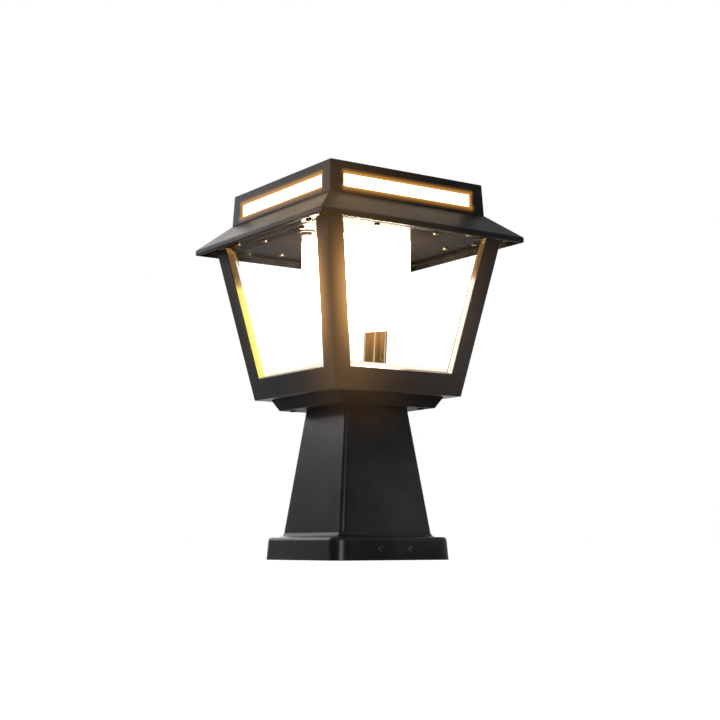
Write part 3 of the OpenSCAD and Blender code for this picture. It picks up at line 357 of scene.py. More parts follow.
def light_on_posts(tree, where, warm):
    """The colour warm with the lamp's light on the posts painted on, by where a point lies.

    Painted lamp light: outer faces glow most at the corner nearest to the photograph's camera. What lies
    behind them is painted lit brown, with a painted highlight line down the corner of the rear posts and a
    painted blown-out face at the rear left.
    """
    glow = use_group(tree, post_glow, {"Vector": where})
    side = split_axes(tree, where)
    farness = maths(tree, "ADD", side["X"], side["Y"])
    nearest = between(tree, farness, -0.1, -0.15, 0.05, 1.0)
    outer = add_colours(tree, maths(tree, "MULTIPLY", glow["Front"], nearest), warm, POST_LIGHT)
    # Painted shade: the lit brown on the rear posts darkens towards their foot
    lower = between(tree, side["Z"], REAR_SHADE_TOP, REAR_SHADE_FOOT)
    brown = blend_colours(tree, lower, REAR_LAMPLIT_BROWN, REAR_SHADE)
    # Painted highlight line down the inside corner
    gold = blend_colours(tree, glow["Line"], brown, REAR_GLINT_GOLD)
    # Painted blown-out highlight on the rear left face under the head
    left_end, back_end = between(tree, side["X"], -0.045, -0.06), between(tree, side["Y"], 0.045, 0.06)
    deepest = between(tree, glow["Depth"], 0.0074, 0.0079)
    under_head = between(tree, side["Z"], 0.321, 0.317)
    corner = maths(tree, "MULTIPLY", left_end, back_end)
    blown_out = maths(tree, "MULTIPLY", corner, maths(tree, "MULTIPLY", deepest, under_head))
    sides = blend_colours(tree, blown_out, INSIDE_LAMPLIT_BROWN, BLOWN_OUT_PALE)
    inner = blend_colours(tree, between(tree, farness, 0.1, 0.13), sides, gold)
    return blend_colours(tree, glow["Inside"], outer, inner)


def powder_coat(name, colour, roughness=0.42, halos=(), slots=0.0, posts=False, dust=0.25, wear=0.35,
                peel=0.00002, specular=0.08, squash=(1.0, 1.0, 1.0), swing=0.02):
    """Baked coat on a casting: peel, worn edges that show grey, dust, and the lamp's warm light painted on
    as emission.

    Each of halos is (centre, reach, fall, strength) of a painted glow; slots and posts add painted glow
    by the roof's openings and on the lantern's posts.
    """
    made, tree, shader, where = new_finish(name, Specular_IOR_Level=specular)
    grain = use_group(tree, coat_grain, {"Vector": where})
    worn = use_group(tree, edge_wear, {"Vector": where, "Amount": wear})
    dusty = use_group(tree, settled_dust, {"Vector": where, "Amount": dust})["Mask"]
    smears = {"Vector": where, "Middle": roughness, "Swing": swing, "Streaks": 0.1}
    marks = use_group(tree, handling_marks, smears)
    pale = tuple(min(1.0, 1.5 * part + 0.004) for part in colour)
    drifted = blend_colours(tree, grain["Drift"], colour, pale)
    rubbed = blend_colours(tree, worn["Mask"], drifted, BARE_METAL)
    dusted = blend_colours(tree, dusty, rubbed, DUST_GREY)
    tree.links.new(dusted, shader.inputs["Base Color"])
    tree.links.new(maths(tree, "MULTIPLY_ADD", dusty, 0.3), shader.inputs["Roughness"])
    tree.links.new(marks["Roughness"], shader.inputs["Roughness"].links[0].from_node.inputs[2])
    bump = {"Height": grain["Height"], "Distance": peel, "Strength": 0.8, "Normal": worn["Soft Normal"]}
    tree.links.new(add(tree, "ShaderNodeBump", bump).outputs[0], shader.inputs["Normal"])
    # Painted lamp light: emission that stands in for the lamp's glow falling on the coat
    warm = blend_colours(tree, 0.0, BLACK, BLACK)
    for centre, reach, fall, strength in halos:
        spread = {"Vector": where, "Centre": centre, "Squash": squash, "Reach": reach, "Fall": fall}
        share = maths(tree, "MULTIPLY", use_group(tree, lamp_halo, spread)["Share"], strength)
        warm = add_colours(tree, share, warm, HALO_LIGHT)
    if slots:
        share = maths(tree, "MULTIPLY", use_group(tree, slot_glow, {"Vector": where})["Share"], slots)
        warm = add_colours(tree, share, warm, SLOT_LIGHT)
    if posts:
        warm = light_on_posts(tree, where, warm)
    if halos or slots or posts:
        tree.links.new(warm, shader.inputs["Emission Color"])
        shader.inputs["Emission Strength"].default_value = 1.0
    return made


def plated_steel(name, colour, roughness=0.28, metallic=1.0):
    """Plated or blackened fastener: turned streaks, a little grime and dulled edges."""
    made, tree, shader, where = new_finish(name, Metallic=metallic)
    marks = use_group(tree, handling_marks, {"Vector": where, "Middle": roughness, "Swing": 0.12})
    worn = use_group(tree, edge_wear, {"Vector": where, "Radius": 0.0004, "Amount": 0.7})
    grime = between(tree, noise(tree, where, 320.0, 5.0), 0.45, 0.75)
    dull = tuple(0.45 * part for part in colour)
    stained = blend_colours(tree, grime, colour, dull)
    bright = tuple(min(1.0, 1.3 * part + 0.03) for part in colour)
    tree.links.new(blend_colours(tree, worn["Mask"], stained, bright), shader.inputs["Base Color"])
    tree.links.new(marks["Roughness"], shader.inputs["Roughness"])
    fine = add(tree, "ShaderNodeBump", {"Height": noise(tree, where, 5200.0, 2.0), "Distance": 0.00001})
    tree.links.new(fine.outputs[0], shader.inputs["Normal"])
    return made


def moulded_plastic(name, colour, roughness=0.4, texture=0.00003, scale=2600.0, specular=0.5):
    """Moulded plastic or rubber: spark-eroded skin, flow marks and rubbed edges."""
    made, tree, shader, where = new_finish(name, Specular_IOR_Level=specular)
    marks = use_group(tree, handling_marks, {"Vector": where, "Middle": roughness, "Swing": 0.07})
    worn = use_group(tree, edge_wear, {"Vector": where, "Radius": 0.0005, "Amount": 0.4})
    flow = between(tree, noise(tree, where, 60.0, 4.0), 0.35, 0.7)
    shade = tuple(0.8 * part for part in colour)
    rubbed = tuple(min(1.0, 1.25 * part + 0.03) for part in colour)
    flowed = blend_colours(tree, flow, colour, shade)
    tree.links.new(blend_colours(tree, worn["Mask"], flowed, rubbed), shader.inputs["Base Color"])
    tree.links.new(marks["Roughness"], shader.inputs["Roughness"])
    skin = {"Height": noise(tree, where, scale, 3.0), "Distance": texture, "Normal": worn["Soft Normal"]}
    tree.links.new(add(tree, "ShaderNodeBump", skin).outputs[0], shader.inputs["Normal"])
    return made


def lit_frost(name, middle, strength, colour=(0.95, 0.93, 0.88), mirrored=1.0, core=None):
    """Frosted lens with light behind it, a little uneven.

    Reflections show it brighter by the factor mirrored, and in the colour core where one is given: a
    painted reflection.
    """
    made, tree, shader, where = new_finish(name, Roughness=0.55, Emission_Strength=strength)
    mottle = between(tree, noise(tree, where, 90.0, 4.0), 0.3, 0.7)
    lit = blend_colours(tree, mottle, middle, tuple(0.94 * part for part in middle))
    # Painted reflection: glossy rays see the lens brighter and paler than it shines
    glossy = add(tree, "ShaderNodeLightPath").outputs["Is Glossy Ray"]
    boost = between(tree, glossy, 0.0, 1.0, 1.0, mirrored)
    toned = blend_colours(tree, glossy, lit, core or middle)
    scaled = add(tree, "ShaderNodeVectorMath", {0: toned, "Scale": boost}, operation="SCALE").outputs[0]
    tree.links.new(scaled, shader.inputs["Emission Color"])
    tree.links.new(blend_colours(tree, mottle, colour, tuple(0.96 * part for part in colour)),
                   shader.inputs["Base Color"])
    frost = add(tree, "ShaderNodeBump", {"Height": noise(tree, where, 3000.0, 2.0), "Distance": 0.00003})
    tree.links.new(frost.outputs[0], shader.inputs["Normal"])
    return made


def lit_trim(name):
    """Clear trim with the lamp's light painted on as emission: yellow at the rear left, pale in front,
    brown at the rear.

    Under the ceiling the painted light dims to ochre. Depth behind the post's face puts a painted
    highlight line on the brown.
    """
    made, tree, shader, where = new_finish(name, Roughness=0.5, Emission_Strength=1.0,
                                           Specular_IOR_Level=0.02)
    place = split_axes(tree, where)
    left = between(tree, place["X"], 0.02, -0.03)
    behind = between(tree, place["Y"], 0.0, 0.04)
    streaks = between(tree, noise(tree, where, 70.0, 3.0), 0.3, 0.7)
    pale = blend_colours(tree, streaks, (1.0, 0.97, 0.86), (1.0, 0.93, 0.76))
    yellow = blend_colours(tree, streaks, (0.97, 0.93, 0.23), (0.92, 0.86, 0.19))
    # Painted shade: the lit brown darkens towards the foot
    lower = between(tree, place["Z"], REAR_SHADE_TOP, REAR_SHADE_FOOT)
    brown = blend_colours(tree, lower, REAR_LAMPLIT_BROWN, REAR_SHADE)
    depth = use_group(tree, post_glow, {"Vector": where})["Depth"]
    # Painted highlight line at a set depth behind the post's face
    line_depth = 0.0027
    off_line = maths(tree, "ABSOLUTE", maths(tree, "SUBTRACT", depth, line_depth))
    line = between(tree, off_line, 0.0009, 0.0004)
    # Painted shade along the post's outer face
    outer = between(tree, depth, 0.0024, 0.0018)
    edged = blend_colours(tree, outer, brown, (0.12, 0.085, 0.06))
    lined = blend_colours(tree, line, edged, REAR_GLINT_GOLD)
    rear = blend_colours(tree, left, lined, yellow)
    rear = blend_colours(tree, between(tree, depth, 0.0085, 0.0095), rear, pale)
    # Painted light that dims to ochre under the ceiling
    upper = between(tree, place["Z"], 0.283, 0.291)
    highest = between(tree, place["Z"], 0.287, 0.3)
    ochre = blend_colours(tree, highest, (0.5, 0.25, 0.09), (0.16, 0.09, 0.03))
    dim = blend_colours(tree, upper, blend_colours(tree, behind, pale, rear), ochre)
    tree.links.new(dim, shader.inputs["Emission Color"])
    tree.links.new(blend_colours(tree, streaks, (0.02, 0.018, 0.012), (0.012, 0.012, 0.008)),
                   shader.inputs["Base Color"])
    return made


def clear_sheet(name, tint=(0.99, 0.998, 0.995), bend=1.09):
    """Clear pane: sees through, mirrors faintly, with a thin film and a few wiped patches that dull it."""
    made, tree, shader, where = new_finish(name, Transmission_Weight=1.0, IOR=bend)
    film = between(tree, noise(tree, where, 30.0, 5.0), 0.4, 0.8)
    tree.links.new(blend_colours(tree, film, tint, tuple(0.994 * part for part in tint)),
                   shader.inputs["Base Color"])
    wiped = between(tree, noise(tree, where, 18.0, 4.0), 0.62, 0.8, 0.0, 0.02)
    tree.links.new(wiped, shader.inputs["Roughness"])
    see_through = add(tree, "ShaderNodeBsdfTransparent", {"Color": (0.93, 0.94, 0.935, 1.0)})
    path = add(tree, "ShaderNodeLightPath").outputs
    passing = maths(tree, "MAXIMUM", path["Is Shadow Ray"], path["Is Diffuse Ray"])
    ways = {0: passing, 1: shader.outputs[0], 2: see_through.outputs[0]}
    joined = add(tree, "ShaderNodeMixShader", ways)
    tree.links.new(joined.outputs[0], tree.nodes["Material Output"].inputs["Surface"])
    return made


def solar_cell(name):
    """Blue-black silicon under a thin film: a fine crystal sheen and faint collector lines."""
    made, tree, shader, where = new_finish(name, Coat_Weight=0.25, Coat_Roughness=0.08,
                                           Specular_IOR_Level=0.25)
    crystal = add(tree, "ShaderNodeTexVoronoi", {"Vector": where, "Scale": 190.0}).outputs["Color"]
    grain = between(tree, add(tree, "ShaderNodeSeparateColor", {0: crystal}).outputs[0], 0.0, 1.0)
    silicon = blend_colours(tree, grain, (0.006, 0.009, 0.03), (0.014, 0.022, 0.07))
    lines_a_metre = 520.0
    across = split_axes(tree, where)["X"]
    step = maths(tree, "FRACT", maths(tree, "MULTIPLY", across, lines_a_metre))
    line = maths(tree, "GREATER_THAN", step, 0.9)
    lined = blend_colours(tree, maths(tree, "MULTIPLY", line, 0.3), silicon, (0.2, 0.22, 0.28))
    tree.links.new(lined, shader.inputs["Base Color"])
    tree.links.new(between(tree, grain, 0.0, 1.0, 0.22, 0.4), shader.inputs["Roughness"])
    return made


FINISHES = {
    # Roof: painted glow round the strip slots and a painted warm halo at the front left
    "cast_roof": powder_coat("cast_roof", (0.0085, 0.008, 0.0075), 0.4, dust=0.05, slots=0.6,
                             specular=0.03, halos=[((-0.09, -0.1, 0.335), 0.2, 3.0, 0.08)]),
    # Lantern: painted lamp light on the posts and painted warm halos
    "cast_lantern": powder_coat("cast_lantern", (0.0075, 0.007, 0.0065), 0.34, dust=0.02, posts=True,
                                halos=[((-0.072, -0.1, 0.265), 0.1, 2.0, 0.2),
                                       ((0.06, -0.12, 0.25), 0.25, 1.0, 0.016),
                                       ((-0.06, -0.09, 0.19), 0.1, 2.0, 0.07)],
                                squash=(1.0, 1.0, 0.6)),
    # Collar: a painted warm halo of the lamp's light from above
    "cast_collar": powder_coat("cast_collar", (0.0075, 0.007, 0.0068), 0.4, dust=0.02, specular=0.02,
                               halos=[((-0.04, -0.07, 0.19), 0.1, 2.0, 0.06)]),
    # Pedestal: a painted warm halo of the lamp's light at its top
    "cast_pedestal": powder_coat("cast_pedestal", (0.007, 0.007, 0.0075), 0.3, dust=0.02,
                                 halos=[((-0.02, -0.04, 0.18), 0.09, 2.0, 0.05)]),
    # Ceiling: a painted glow of the lit diffuser round its middle
    "ceiling_paint": powder_coat("ceiling_paint", (0.004, 0.0025, 0.0015), 0.11, peel=0.0, specular=0.002,
                                 dust=0.0, wear=0.0, swing=0.005,
                                 halos=[((0.0, 0.0, 0.331), 0.16, 3.0, 0.16)]),
    "zinc_plate": plated_steel("zinc_plate", (0.55, 0.56, 0.58), 0.38),
    "black_screw": plated_steel("black_screw", (0.012, 0.012, 0.013), 0.3, 0.5),
    "dark_screw": plated_steel("dark_screw", (0.09, 0.066, 0.04), 0.4),
    "bright_screw": plated_steel("bright_screw", (0.6, 0.6, 0.62), 0.26),
    "carrier_alloy": plated_steel("carrier_alloy", (0.74, 0.75, 0.77), 0.33),
    "brass_post": plated_steel("brass_post", (0.72, 0.55, 0.25), 0.3),
    "white_reflector": moulded_plastic("white_reflector", (0.82, 0.81, 0.78), 0.3, 0.00001),
    # Beads: painted lamp light, as on the posts
    "bead_plastic": powder_coat("bead_plastic", (0.01, 0.009, 0.008), 0.5, dust=0.0, posts=True,
                                specular=0.02),
    "seal_rubber": moulded_plastic("seal_rubber", (0.02, 0.02, 0.02), 0.65, 0.00005),
    # Bezel: painted lamp light from the diffuser
    "bezel_plastic": powder_coat("bezel_plastic", (0.004, 0.0025, 0.0015), 0.11, peel=0.0, specular=0.0036,
                                 dust=0.0, wear=0.0, swing=0.005,
                                 halos=[((0.0, 0.0, 0.33), 0.4, 1.0, 0.12)]),
    # Button: painted lamp light from the diffuser
    "button_plastic": powder_coat("button_plastic", (0.02, 0.012, 0.006), 0.5, peel=0.0, specular=0.02,
                                  dust=0.0, wear=0.0, halos=[((0.0, 0.0, 0.33), 0.4, 1.0, 0.19)]),
    "tray_plastic": moulded_plastic("tray_plastic", (0.08, 0.08, 0.09), 0.45),
    "battery_wrap": moulded_plastic("battery_wrap", (0.06, 0.3, 0.2), 0.3, 0.00001),
    "part_plastic": moulded_plastic("part_plastic", (0.05, 0.05, 0.055), 0.45),
    "green_board": moulded_plastic("green_board", (0.03, 0.2, 0.09), 0.3, 0.00001),
    "white_board": moulded_plastic("white_board", (0.86, 0.86, 0.83), 0.3, 0.00001),
    "panel_backing": moulded_plastic("panel_backing", (0.82, 0.82, 0.8), 0.45),
    "light_chip": lit_frost("light_chip", (1.0, 0.8, 0.4), 3.0, (1.0, 0.85, 0.4)),
    # Diffuser: its reflections painted 3.5 times brighter and paler than it shines
    "diffuser_frost": lit_frost("diffuser_frost", (1.0, 0.68, 0.36), 16.0, mirrored=3.5,
                                core=(1.0, 0.82, 0.62)),
    "strip_frost": lit_frost("strip_frost", (1.0, 0.78, 0.48), 5.0),
    "clear_pane": clear_sheet("clear_pane"),
    "panel_glass": clear_sheet("panel_glass", (0.95, 0.98, 0.97), 1.25),
    "solar_cell": solar_cell("solar_cell"),
}
pane_edge = moulded_plastic("pane_edge", (0.02, 0.014, 0.009), 0.6, specular=0.02)
# Painted lamp light on the jambs and sills, as emission
painted_lamplight_trim = lit_trim("painted_lamplight_trim")
busbar_silver = plated_steel("busbar_silver", (0.62, 0.64, 0.68), 0.35, 0.8)
sealant = moulded_plastic("sealant", (0.03, 0.03, 0.032), 0.45, 0.00004, 900.0)

slot_of = {row["node"]: row["material_slot"] for row in frame["record"]["subparts"]}
for node_name, cad_piece in frame["nodes"].items():
    finish = FINISHES[slot_of[node_name]]
    if not cad_piece.data.materials:
        cad_piece.data.materials.append(finish)
    for place in cad_piece.material_slots:
        place.material = finish


# Pieces made here

DOUBLES = 0.000002
SMOOTH_ANGLE = math.radians(32)
CREASE_DEGREES = 24.0


def show(name, mesh, finishes, body="lamp", nodes=()):
    """Puts a finished mesh in the scene, on its body, in place of the CAD nodes it stands for."""
    piece = bpy.data.objects.new(name, mesh)
    bpy.context.scene.collection.objects.link(piece)
    for finish in finishes:
        mesh.materials.append(finish)
    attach(piece, body)
    if nodes:
        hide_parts(*nodes)
    return piece


def grid_faces(rows, columns, wrap=False):
    """Corner numbers of each cell of a grid of points; wrap joins the last column to the first."""
    across = np.arange(columns if wrap else columns - 1)
    along = np.arange(rows - 1)[:, None]
    after = (across + 1) % columns
    cells = [along * columns + across, along * columns + after,
             (along + 1) * columns + after, (along + 1) * columns + across]
    return np.stack(np.broadcast_arrays(*cells), axis=-1).reshape(-1, 4)


def make_mesh(name, points, faces):
    """A mesh from an array of points and an array of faces, shaded smooth up to a sharp angle."""
    mesh = bpy.data.meshes.new(name)
    mesh.from_pydata(points.tolist(), [], faces.tolist())
    mesh.validate()
    mesh.shade_smooth()
    mesh.set_sharp_from_angle(angle=SMOOTH_ANGLE)
    return mesh


def recalculate(mesh, merge=DOUBLES):
    """Merges doubles and turns every face outwards."""
    work = bmesh.new()
    work.from_mesh(mesh)
    bmesh.ops.remove_doubles(work, verts=work.verts, dist=merge)
    bmesh.ops.recalc_face_normals(work, faces=work.faces)
    work.to_mesh(mesh)
    work.free()


def clean_copy(node, flat=0.6):
    """Copy of a CAD node's mesh with its doubles merged and its flat faces joined into whole ones."""
    mesh = frame["nodes"][node].data.copy()
    mesh.name = node + "_finished"
    mesh.materials.clear()
    work = bmesh.new()
    work.from_mesh(mesh)
    bmesh.ops.remove_doubles(work, verts=work.verts, dist=DOUBLES)
    bmesh.ops.dissolve_limit(work, angle_limit=math.radians(flat), verts=work.verts, edges=work.edges)
    work.to_mesh(mesh)
    work.free()
    return mesh


def outer_edges(mesh, least_angle, least_length):
    """1 for each edge that stands out by more than least_angle and is longer than least_length, else 0.

    An edge stands out where the middle of one face lies behind the plane of the other.
    """
    count = len(mesh.edges)
    ends = np.empty(count * 2, np.int32)
    mesh.edges.foreach_get("vertices", ends)
    points = np.empty(len(mesh.vertices) * 3)
    mesh.vertices.foreach_get("co", points)
    points = points.reshape(-1, 3)
    length = np.linalg.norm(points[ends[::2]] - points[ends[1::2]], axis=1)
    normals = np.empty(len(mesh.polygons) * 3)
    mesh.polygons.foreach_get("normal", normals)
    middles = np.empty(len(mesh.polygons) * 3)
    mesh.polygons.foreach_get("center", middles)
    sizes = np.empty(len(mesh.polygons), np.int32)
    mesh.polygons.foreach_get("loop_total", sizes)
    edge_of = np.empty(len(mesh.loops), np.int32)
    mesh.loops.foreach_get("edge_index", edge_of)
    face_of = np.repeat(np.arange(len(sizes)), sizes)
    order = np.argsort(edge_of, kind="stable")
    sorted_edges = edge_of[order]
    first = np.searchsorted(sorted_edges, np.arange(count))
    paired = np.bincount(edge_of, minlength=count) == 2
    one = face_of[order[np.minimum(first, len(order) - 1)]]
    two = face_of[order[np.minimum(first + 1, len(order) - 1)]]
    normals, middles = normals.reshape(-1, 3), middles.reshape(-1, 3)
    bend = np.degrees(np.arccos(np.clip((normals[one] * normals[two]).sum(1), -1, 1)))
    behind = ((middles[two] - middles[one]) * normals[one]).sum(1) < 0
    return (paired & behind & (bend > least_angle) & (length > least_length)).astype(np.float32)


def rounded_casting(node, finish, radius, flat=0.6):
    """A casting with its long outer edges rounded to radius, as paint and tumbling leave them."""
    shortest = 0.012
    mesh = clean_copy(node, flat)
    weights = outer_edges(mesh, CREASE_DEGREES, shortest)
    mesh.attributes.new("bevel_weight_edge", "FLOAT", "EDGE").data.foreach_set("value", weights)
    mesh.shade_smooth()
    mesh.set_sharp_from_angle(angle=math.radians(CREASE_DEGREES))
    piece = show(node + "_casting", mesh, [finish], nodes=[node])
    rounding = piece.modifiers.new("rounding", "BEVEL")
    rounding.limit_method = "WEIGHT"
    rounding.width = radius
    rounding.segments = 3
    rounding.use_clamp_overlap = False
    rounding.harden_normals = True
    evened = piece.modifiers.new("evened", "WEIGHTED_NORMAL")
    evened.mode = "FACE_AREA"
    evened.weight = 100
    evened.keep_sharp = True


def socket_screws(name, node, seats, head_r, head_h, shank_r, length, socket_share, finish):
    """Button-head screws with a hexagon socket, one for each (place, axis) seat.

    A profile of (radius, height, hexagon share) turns about the axis; where the share is 1 the ring is a
    hexagon, radius * cos(30 deg) / cos(angle folded to within 30 deg of a flat's middle).
    """
    key, pole = head_r * 0.52, 0.00001
    socket_floor = head_h * (1 - socket_share)
    flat, skirt = 0.72, 0.42
    quarter = np.linspace(0, 1, 6) * np.pi / 2
    crown = np.stack([head_r * (flat + (1 - flat) * np.sin(quarter)),
                      head_h * (skirt + (1 - skirt) * np.cos(quarter)), np.zeros(6)], axis=1)
    profile = np.vstack([
        [[pole, socket_floor, 1.0], [key, socket_floor, 1.0], [key, head_h * 0.97, 1.0],
         [key * 1.12, head_h, 0.4]],
        crown,
        [[head_r, 0.0, 0.0], [shank_r, 0.0, 0.0], [shank_r, -length, 0.0],
         [pole, -length - shank_r * 0.3, 0.0]],
    ])
    turn = np.linspace(0, 2 * np.pi, 36, endpoint=False)
    folded = np.abs((turn % (np.pi / 3)) - np.pi / 6)
    six = np.cos(np.pi / 6) / np.cos(np.pi / 6 - folded)
    radius = profile[:, :1] * (1 + profile[:, 2:] * (six[None, :] - 1))
    ring = np.stack([radius * np.cos(turn), radius * np.sin(turn),
                     np.repeat(profile[:, 1:2], len(turn), axis=1)], axis=-1).reshape(-1, 3)
    cells = grid_faces(len(profile), len(turn), wrap=True)
    sets, faces = [], []
    for number, (place, axis) in enumerate(seats):
        turned = np.array(Vector(axis).to_track_quat("Z", "X").to_matrix())
        sets.append(ring @ turned.T + np.array(place))
        faces.append(cells + number * len(ring))
    mesh = make_mesh(name, np.vstack(sets), np.vstack(faces))
    recalculate(mesh, 0.00003)
    mesh.set_sharp_from_angle(angle=math.radians(30))
    show(name, mesh, [finish], nodes=[node])


def turned_ways(*vectors):
    """The given vectors, turned together to each of the four sides of the lamp in turn."""
    turns = [Matrix.Rotation(turn * math.pi / 2, 3, "Z") for turn in range(4)]
    return [tuple(tuple(about @ Vector(vector)) for vector in vectors) for about in turns]


def thin_strips(name, strips, thickness, finish, steps=2):
    """Flat strips given a wall. Each is (start, run, width): points start + u * run + v * width."""
    u, v = np.meshgrid(np.linspace(0, 1, steps), np.linspace(0, 1, 2), indexing="ij")
    flat = [np.array(start) + u[..., None] * np.array(run) + v[..., None] * np.array(width)
            for start, run, width in strips]
    cells = grid_faces(steps, 2)
    faces = np.vstack([cells + number * steps * 2 for number in range(len(flat))])
    mesh = make_mesh(name, np.vstack([part.reshape(-1, 3) for part in flat]), faces)
    wall = show(name, mesh, [finish]).modifiers.new("wall", "SOLIDIFY")
    wall.thickness = thickness
    wall.offset = 0.0


def half_at(z):
    """Half of the lantern's outer width at a height: it grows evenly from the floor to the ceiling."""
    return bottom_half + lean * (z - floor_z)


def jamb_linings_painted_light():
    """Clear trim on the eight jambs, with the lamp's light on them painted as emission.

    Each follows its raked jamb: x = half(z) - leg, y = half(z) less a depth, from sill to rounded head.
    """
    ends, gap, inset, spare = 0.001, 0.00025, 0.0006, 0.0007
    low, high = sill_z + ends, ceiling_z - post_round - ends
    strips = []
    for side in (-1, 1):
        near = Vector((side * (half_at(low) - post_leg - gap), -half_at(low) + inset, low))
        far = Vector((side * (half_at(high) - post_leg - gap), -half_at(high) + inset, high))
        strips += turned_ways(near, far - near, (0, post_depth - spare, 0))
    thin_strips("jamb_linings_painted_light", strips, 0.0003, painted_lamplight_trim, 12)


def sill_gaskets_painted_light():
    """Clear lip that stands on the inner sill behind each pane, leaning out with it, with the lamp's light
    painted on as emission.
    """
    low = floor_z + 0.0249
    back = half_at(low) - 0.0141
    end = back - 0.004
    strips = turned_ways((-end, -back, low), (2 * end, 0, 0), (0, -0.0006, 0.0042))
    thin_strips("sill_gaskets_painted_light", strips, 0.0005, painted_lamplight_trim)


def edged_pane(node):
    """A pane as cut from sheet: clear faces, and ground edges under dark sealant."""
    mesh = clean_copy(node)
    finishes = [FINISHES["clear_pane"], pane_edge]
    show(node + "_sheet", mesh, finishes, nodes=[node])
    areas = np.empty(len(mesh.polygons))
    mesh.polygons.foreach_get("area", areas)
    edge_share = 0.4
    edge = (areas < areas.max() * edge_share).astype(np.int32)
    mesh.polygons.foreach_set("material_index", edge)


def cell_plates():
    """Solar cells with cut corners: |x| + |y| held under 1.82 half widths, each on its own square."""
    low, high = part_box("solar_cells")
    rows, gap, thickness_share = 4, 0.0016, 0.6
    pitch = (high.x - low.x + gap) / rows
    half = (pitch - gap) / 2
    cut = half * 0.82
    outline = np.array([(half, cut), (cut, half), (-cut, half), (-half, cut),
                        (-half, -cut), (-cut, -half), (cut, -half), (half, -cut)])
    centre = (np.arange(rows) - (rows - 1) / 2) * pitch
    middles = np.stack(np.meshgrid(centre, centre, indexing="ij"), axis=-1).reshape(-1, 1, 2)
    flat = (middles + outline[None]).reshape(-1, 2)
    level = np.full((len(flat), 1), (low.z + high.z) / 2)
    faces = np.arange(len(flat)).reshape(-1, 8)
    mesh = make_mesh("cell_plates", np.hstack([flat, level]), faces)
    piece = show("cell_plates", mesh, [FINISHES["solar_cell"]], nodes=["solar_cells"])
    wall = piece.modifiers.new("wall", "SOLIDIFY")
    wall.thickness = (high.z - low.z) * thickness_share
    wall.offset = 0.0
    bar, bar_z = 0.0008, high.z - 0.00005
    lines = (centre[:, None] + np.array([-half / 2, 0.0, half / 2])[None]).ravel()
    strips = [((line - bar / 2, row - half, bar_z), (0, 2 * half, 0), (bar, 0, 0))
              for line in lines for row in centre]
    thin_strips("busbars", strips, 0.00006, busbar_silver)


def glass_bead():
    """Bead of sealant in the joint round the panel's glass: a quarter-round carried round the square."""
    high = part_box("panel_glass")[1]
    turn = np.linspace(0, np.pi / 2, 5)
    reach, crown, into_joint, under = 0.0011, 0.3, 0.0002, 0.0004
    inset = np.concatenate([high.x - reach * np.cos(turn), [high.x + into_joint]])
    rise = np.concatenate([high.z + reach * crown * np.sin(turn), [high.z - under]])
    corners = np.array([(1, 1), (-1, 1), (-1, -1), (1, -1)])
    points = np.concatenate([np.stack([corner[0] * inset, corner[1] * inset, rise], axis=1)[None]
                             for corner in corners]).transpose(1, 0, 2).reshape(-1, 3)
    mesh = make_mesh("glass_bead", points, grid_faces(len(inset), 4, wrap=True))
    recalculate(mesh)
    show("glass_bead", mesh, [sealant])


edge_round = 0.0007
for node, coat in (("roof_shell", "cast_roof"), ("roof_head", "cast_roof"),
                   ("lantern_frame", "cast_lantern"), ("collar", "cast_collar")):
    rounded_casting(node, FINISHES[coat], edge_round)
rounded_casting("pedestal", FINISHES["cast_pedestal"], 0.0004, flat=1.0)

# Screws: how far along the side and how far out of the middle each seat is
head_wall, boss_r = 0.003, 0.0027
base_along, outer_along, inner_along, collar_along = 0.0185, 0.07, 0.036953, 0.048
base_low, base_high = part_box("base_screws")
base_head_h = 0.002
base_out = -base_low.y - base_head_h
base_screw_z = (base_low.z + base_high.z) / 2
base_seats = [((side * base_along, way * base_out, base_screw_z), (0, way, 0))
              for side in (-1, 1) for way in (-1, 1)]
socket_screws("base_socket_screws", "base_screws", base_seats, head_r=0.0036, head_h=base_head_h,
              shank_r=0.002, length=0.008, socket_share=0.6, finish=FINISHES["black_screw"])
outer_out = top_half - post_depth / 2
inner_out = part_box("roof_head")[1].x - head_wall - boss_r
ceiling_seats = []
for side in (-1, 1):
    ceiling_seats += turned_ways((side * outer_along, -outer_out, ceiling_z), (0, 0, -1))
    ceiling_seats += turned_ways((side * inner_along, -inner_out, ceiling_z), (0, 0, -1))
socket_screws("ceiling_socket_screws", "ceiling_screws", ceiling_seats, head_r=0.0029, head_h=0.0018,
              shank_r=0.0015, length=0.012, socket_share=0.6, finish=FINISHES["dark_screw"])
collar_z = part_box("collar")[0].z
collar_seats = turned_ways((collar_along, collar_along, collar_z), (0, 0, -1))
socket_screws("collar_socket_screws", "collar_screws", collar_seats, head_r=0.0036, head_h=0.0012,
              shank_r=0.002, length=0.018, socket_share=0.6, finish=FINISHES["cast_collar"])
jamb_linings_painted_light()
sill_gaskets_painted_light()
for side in ("front", "right", "back", "left"):
    edged_pane("pane_" + side)
cell_plates()
glass_bead()

# The ceiling mirrors no button in the photograph
for node in ("push_button", "button_bezel"):
    frame["nodes"][node].visible_glossy = False


# Floor, lights and camera


def seen_or_mirrored(tree):
    """Two masks: rays that see rather than light (camera, gloss, glass), and those through glass alone."""
    path = add(tree, "ShaderNodeLightPath").outputs
    seen = maths(tree, "MAXIMUM", path["Is Camera Ray"], path["Is Glossy Ray"])
    return maths(tree, "MAXIMUM", seen, path["Is Transmission Ray"]), path["Is Transmission Ray"]


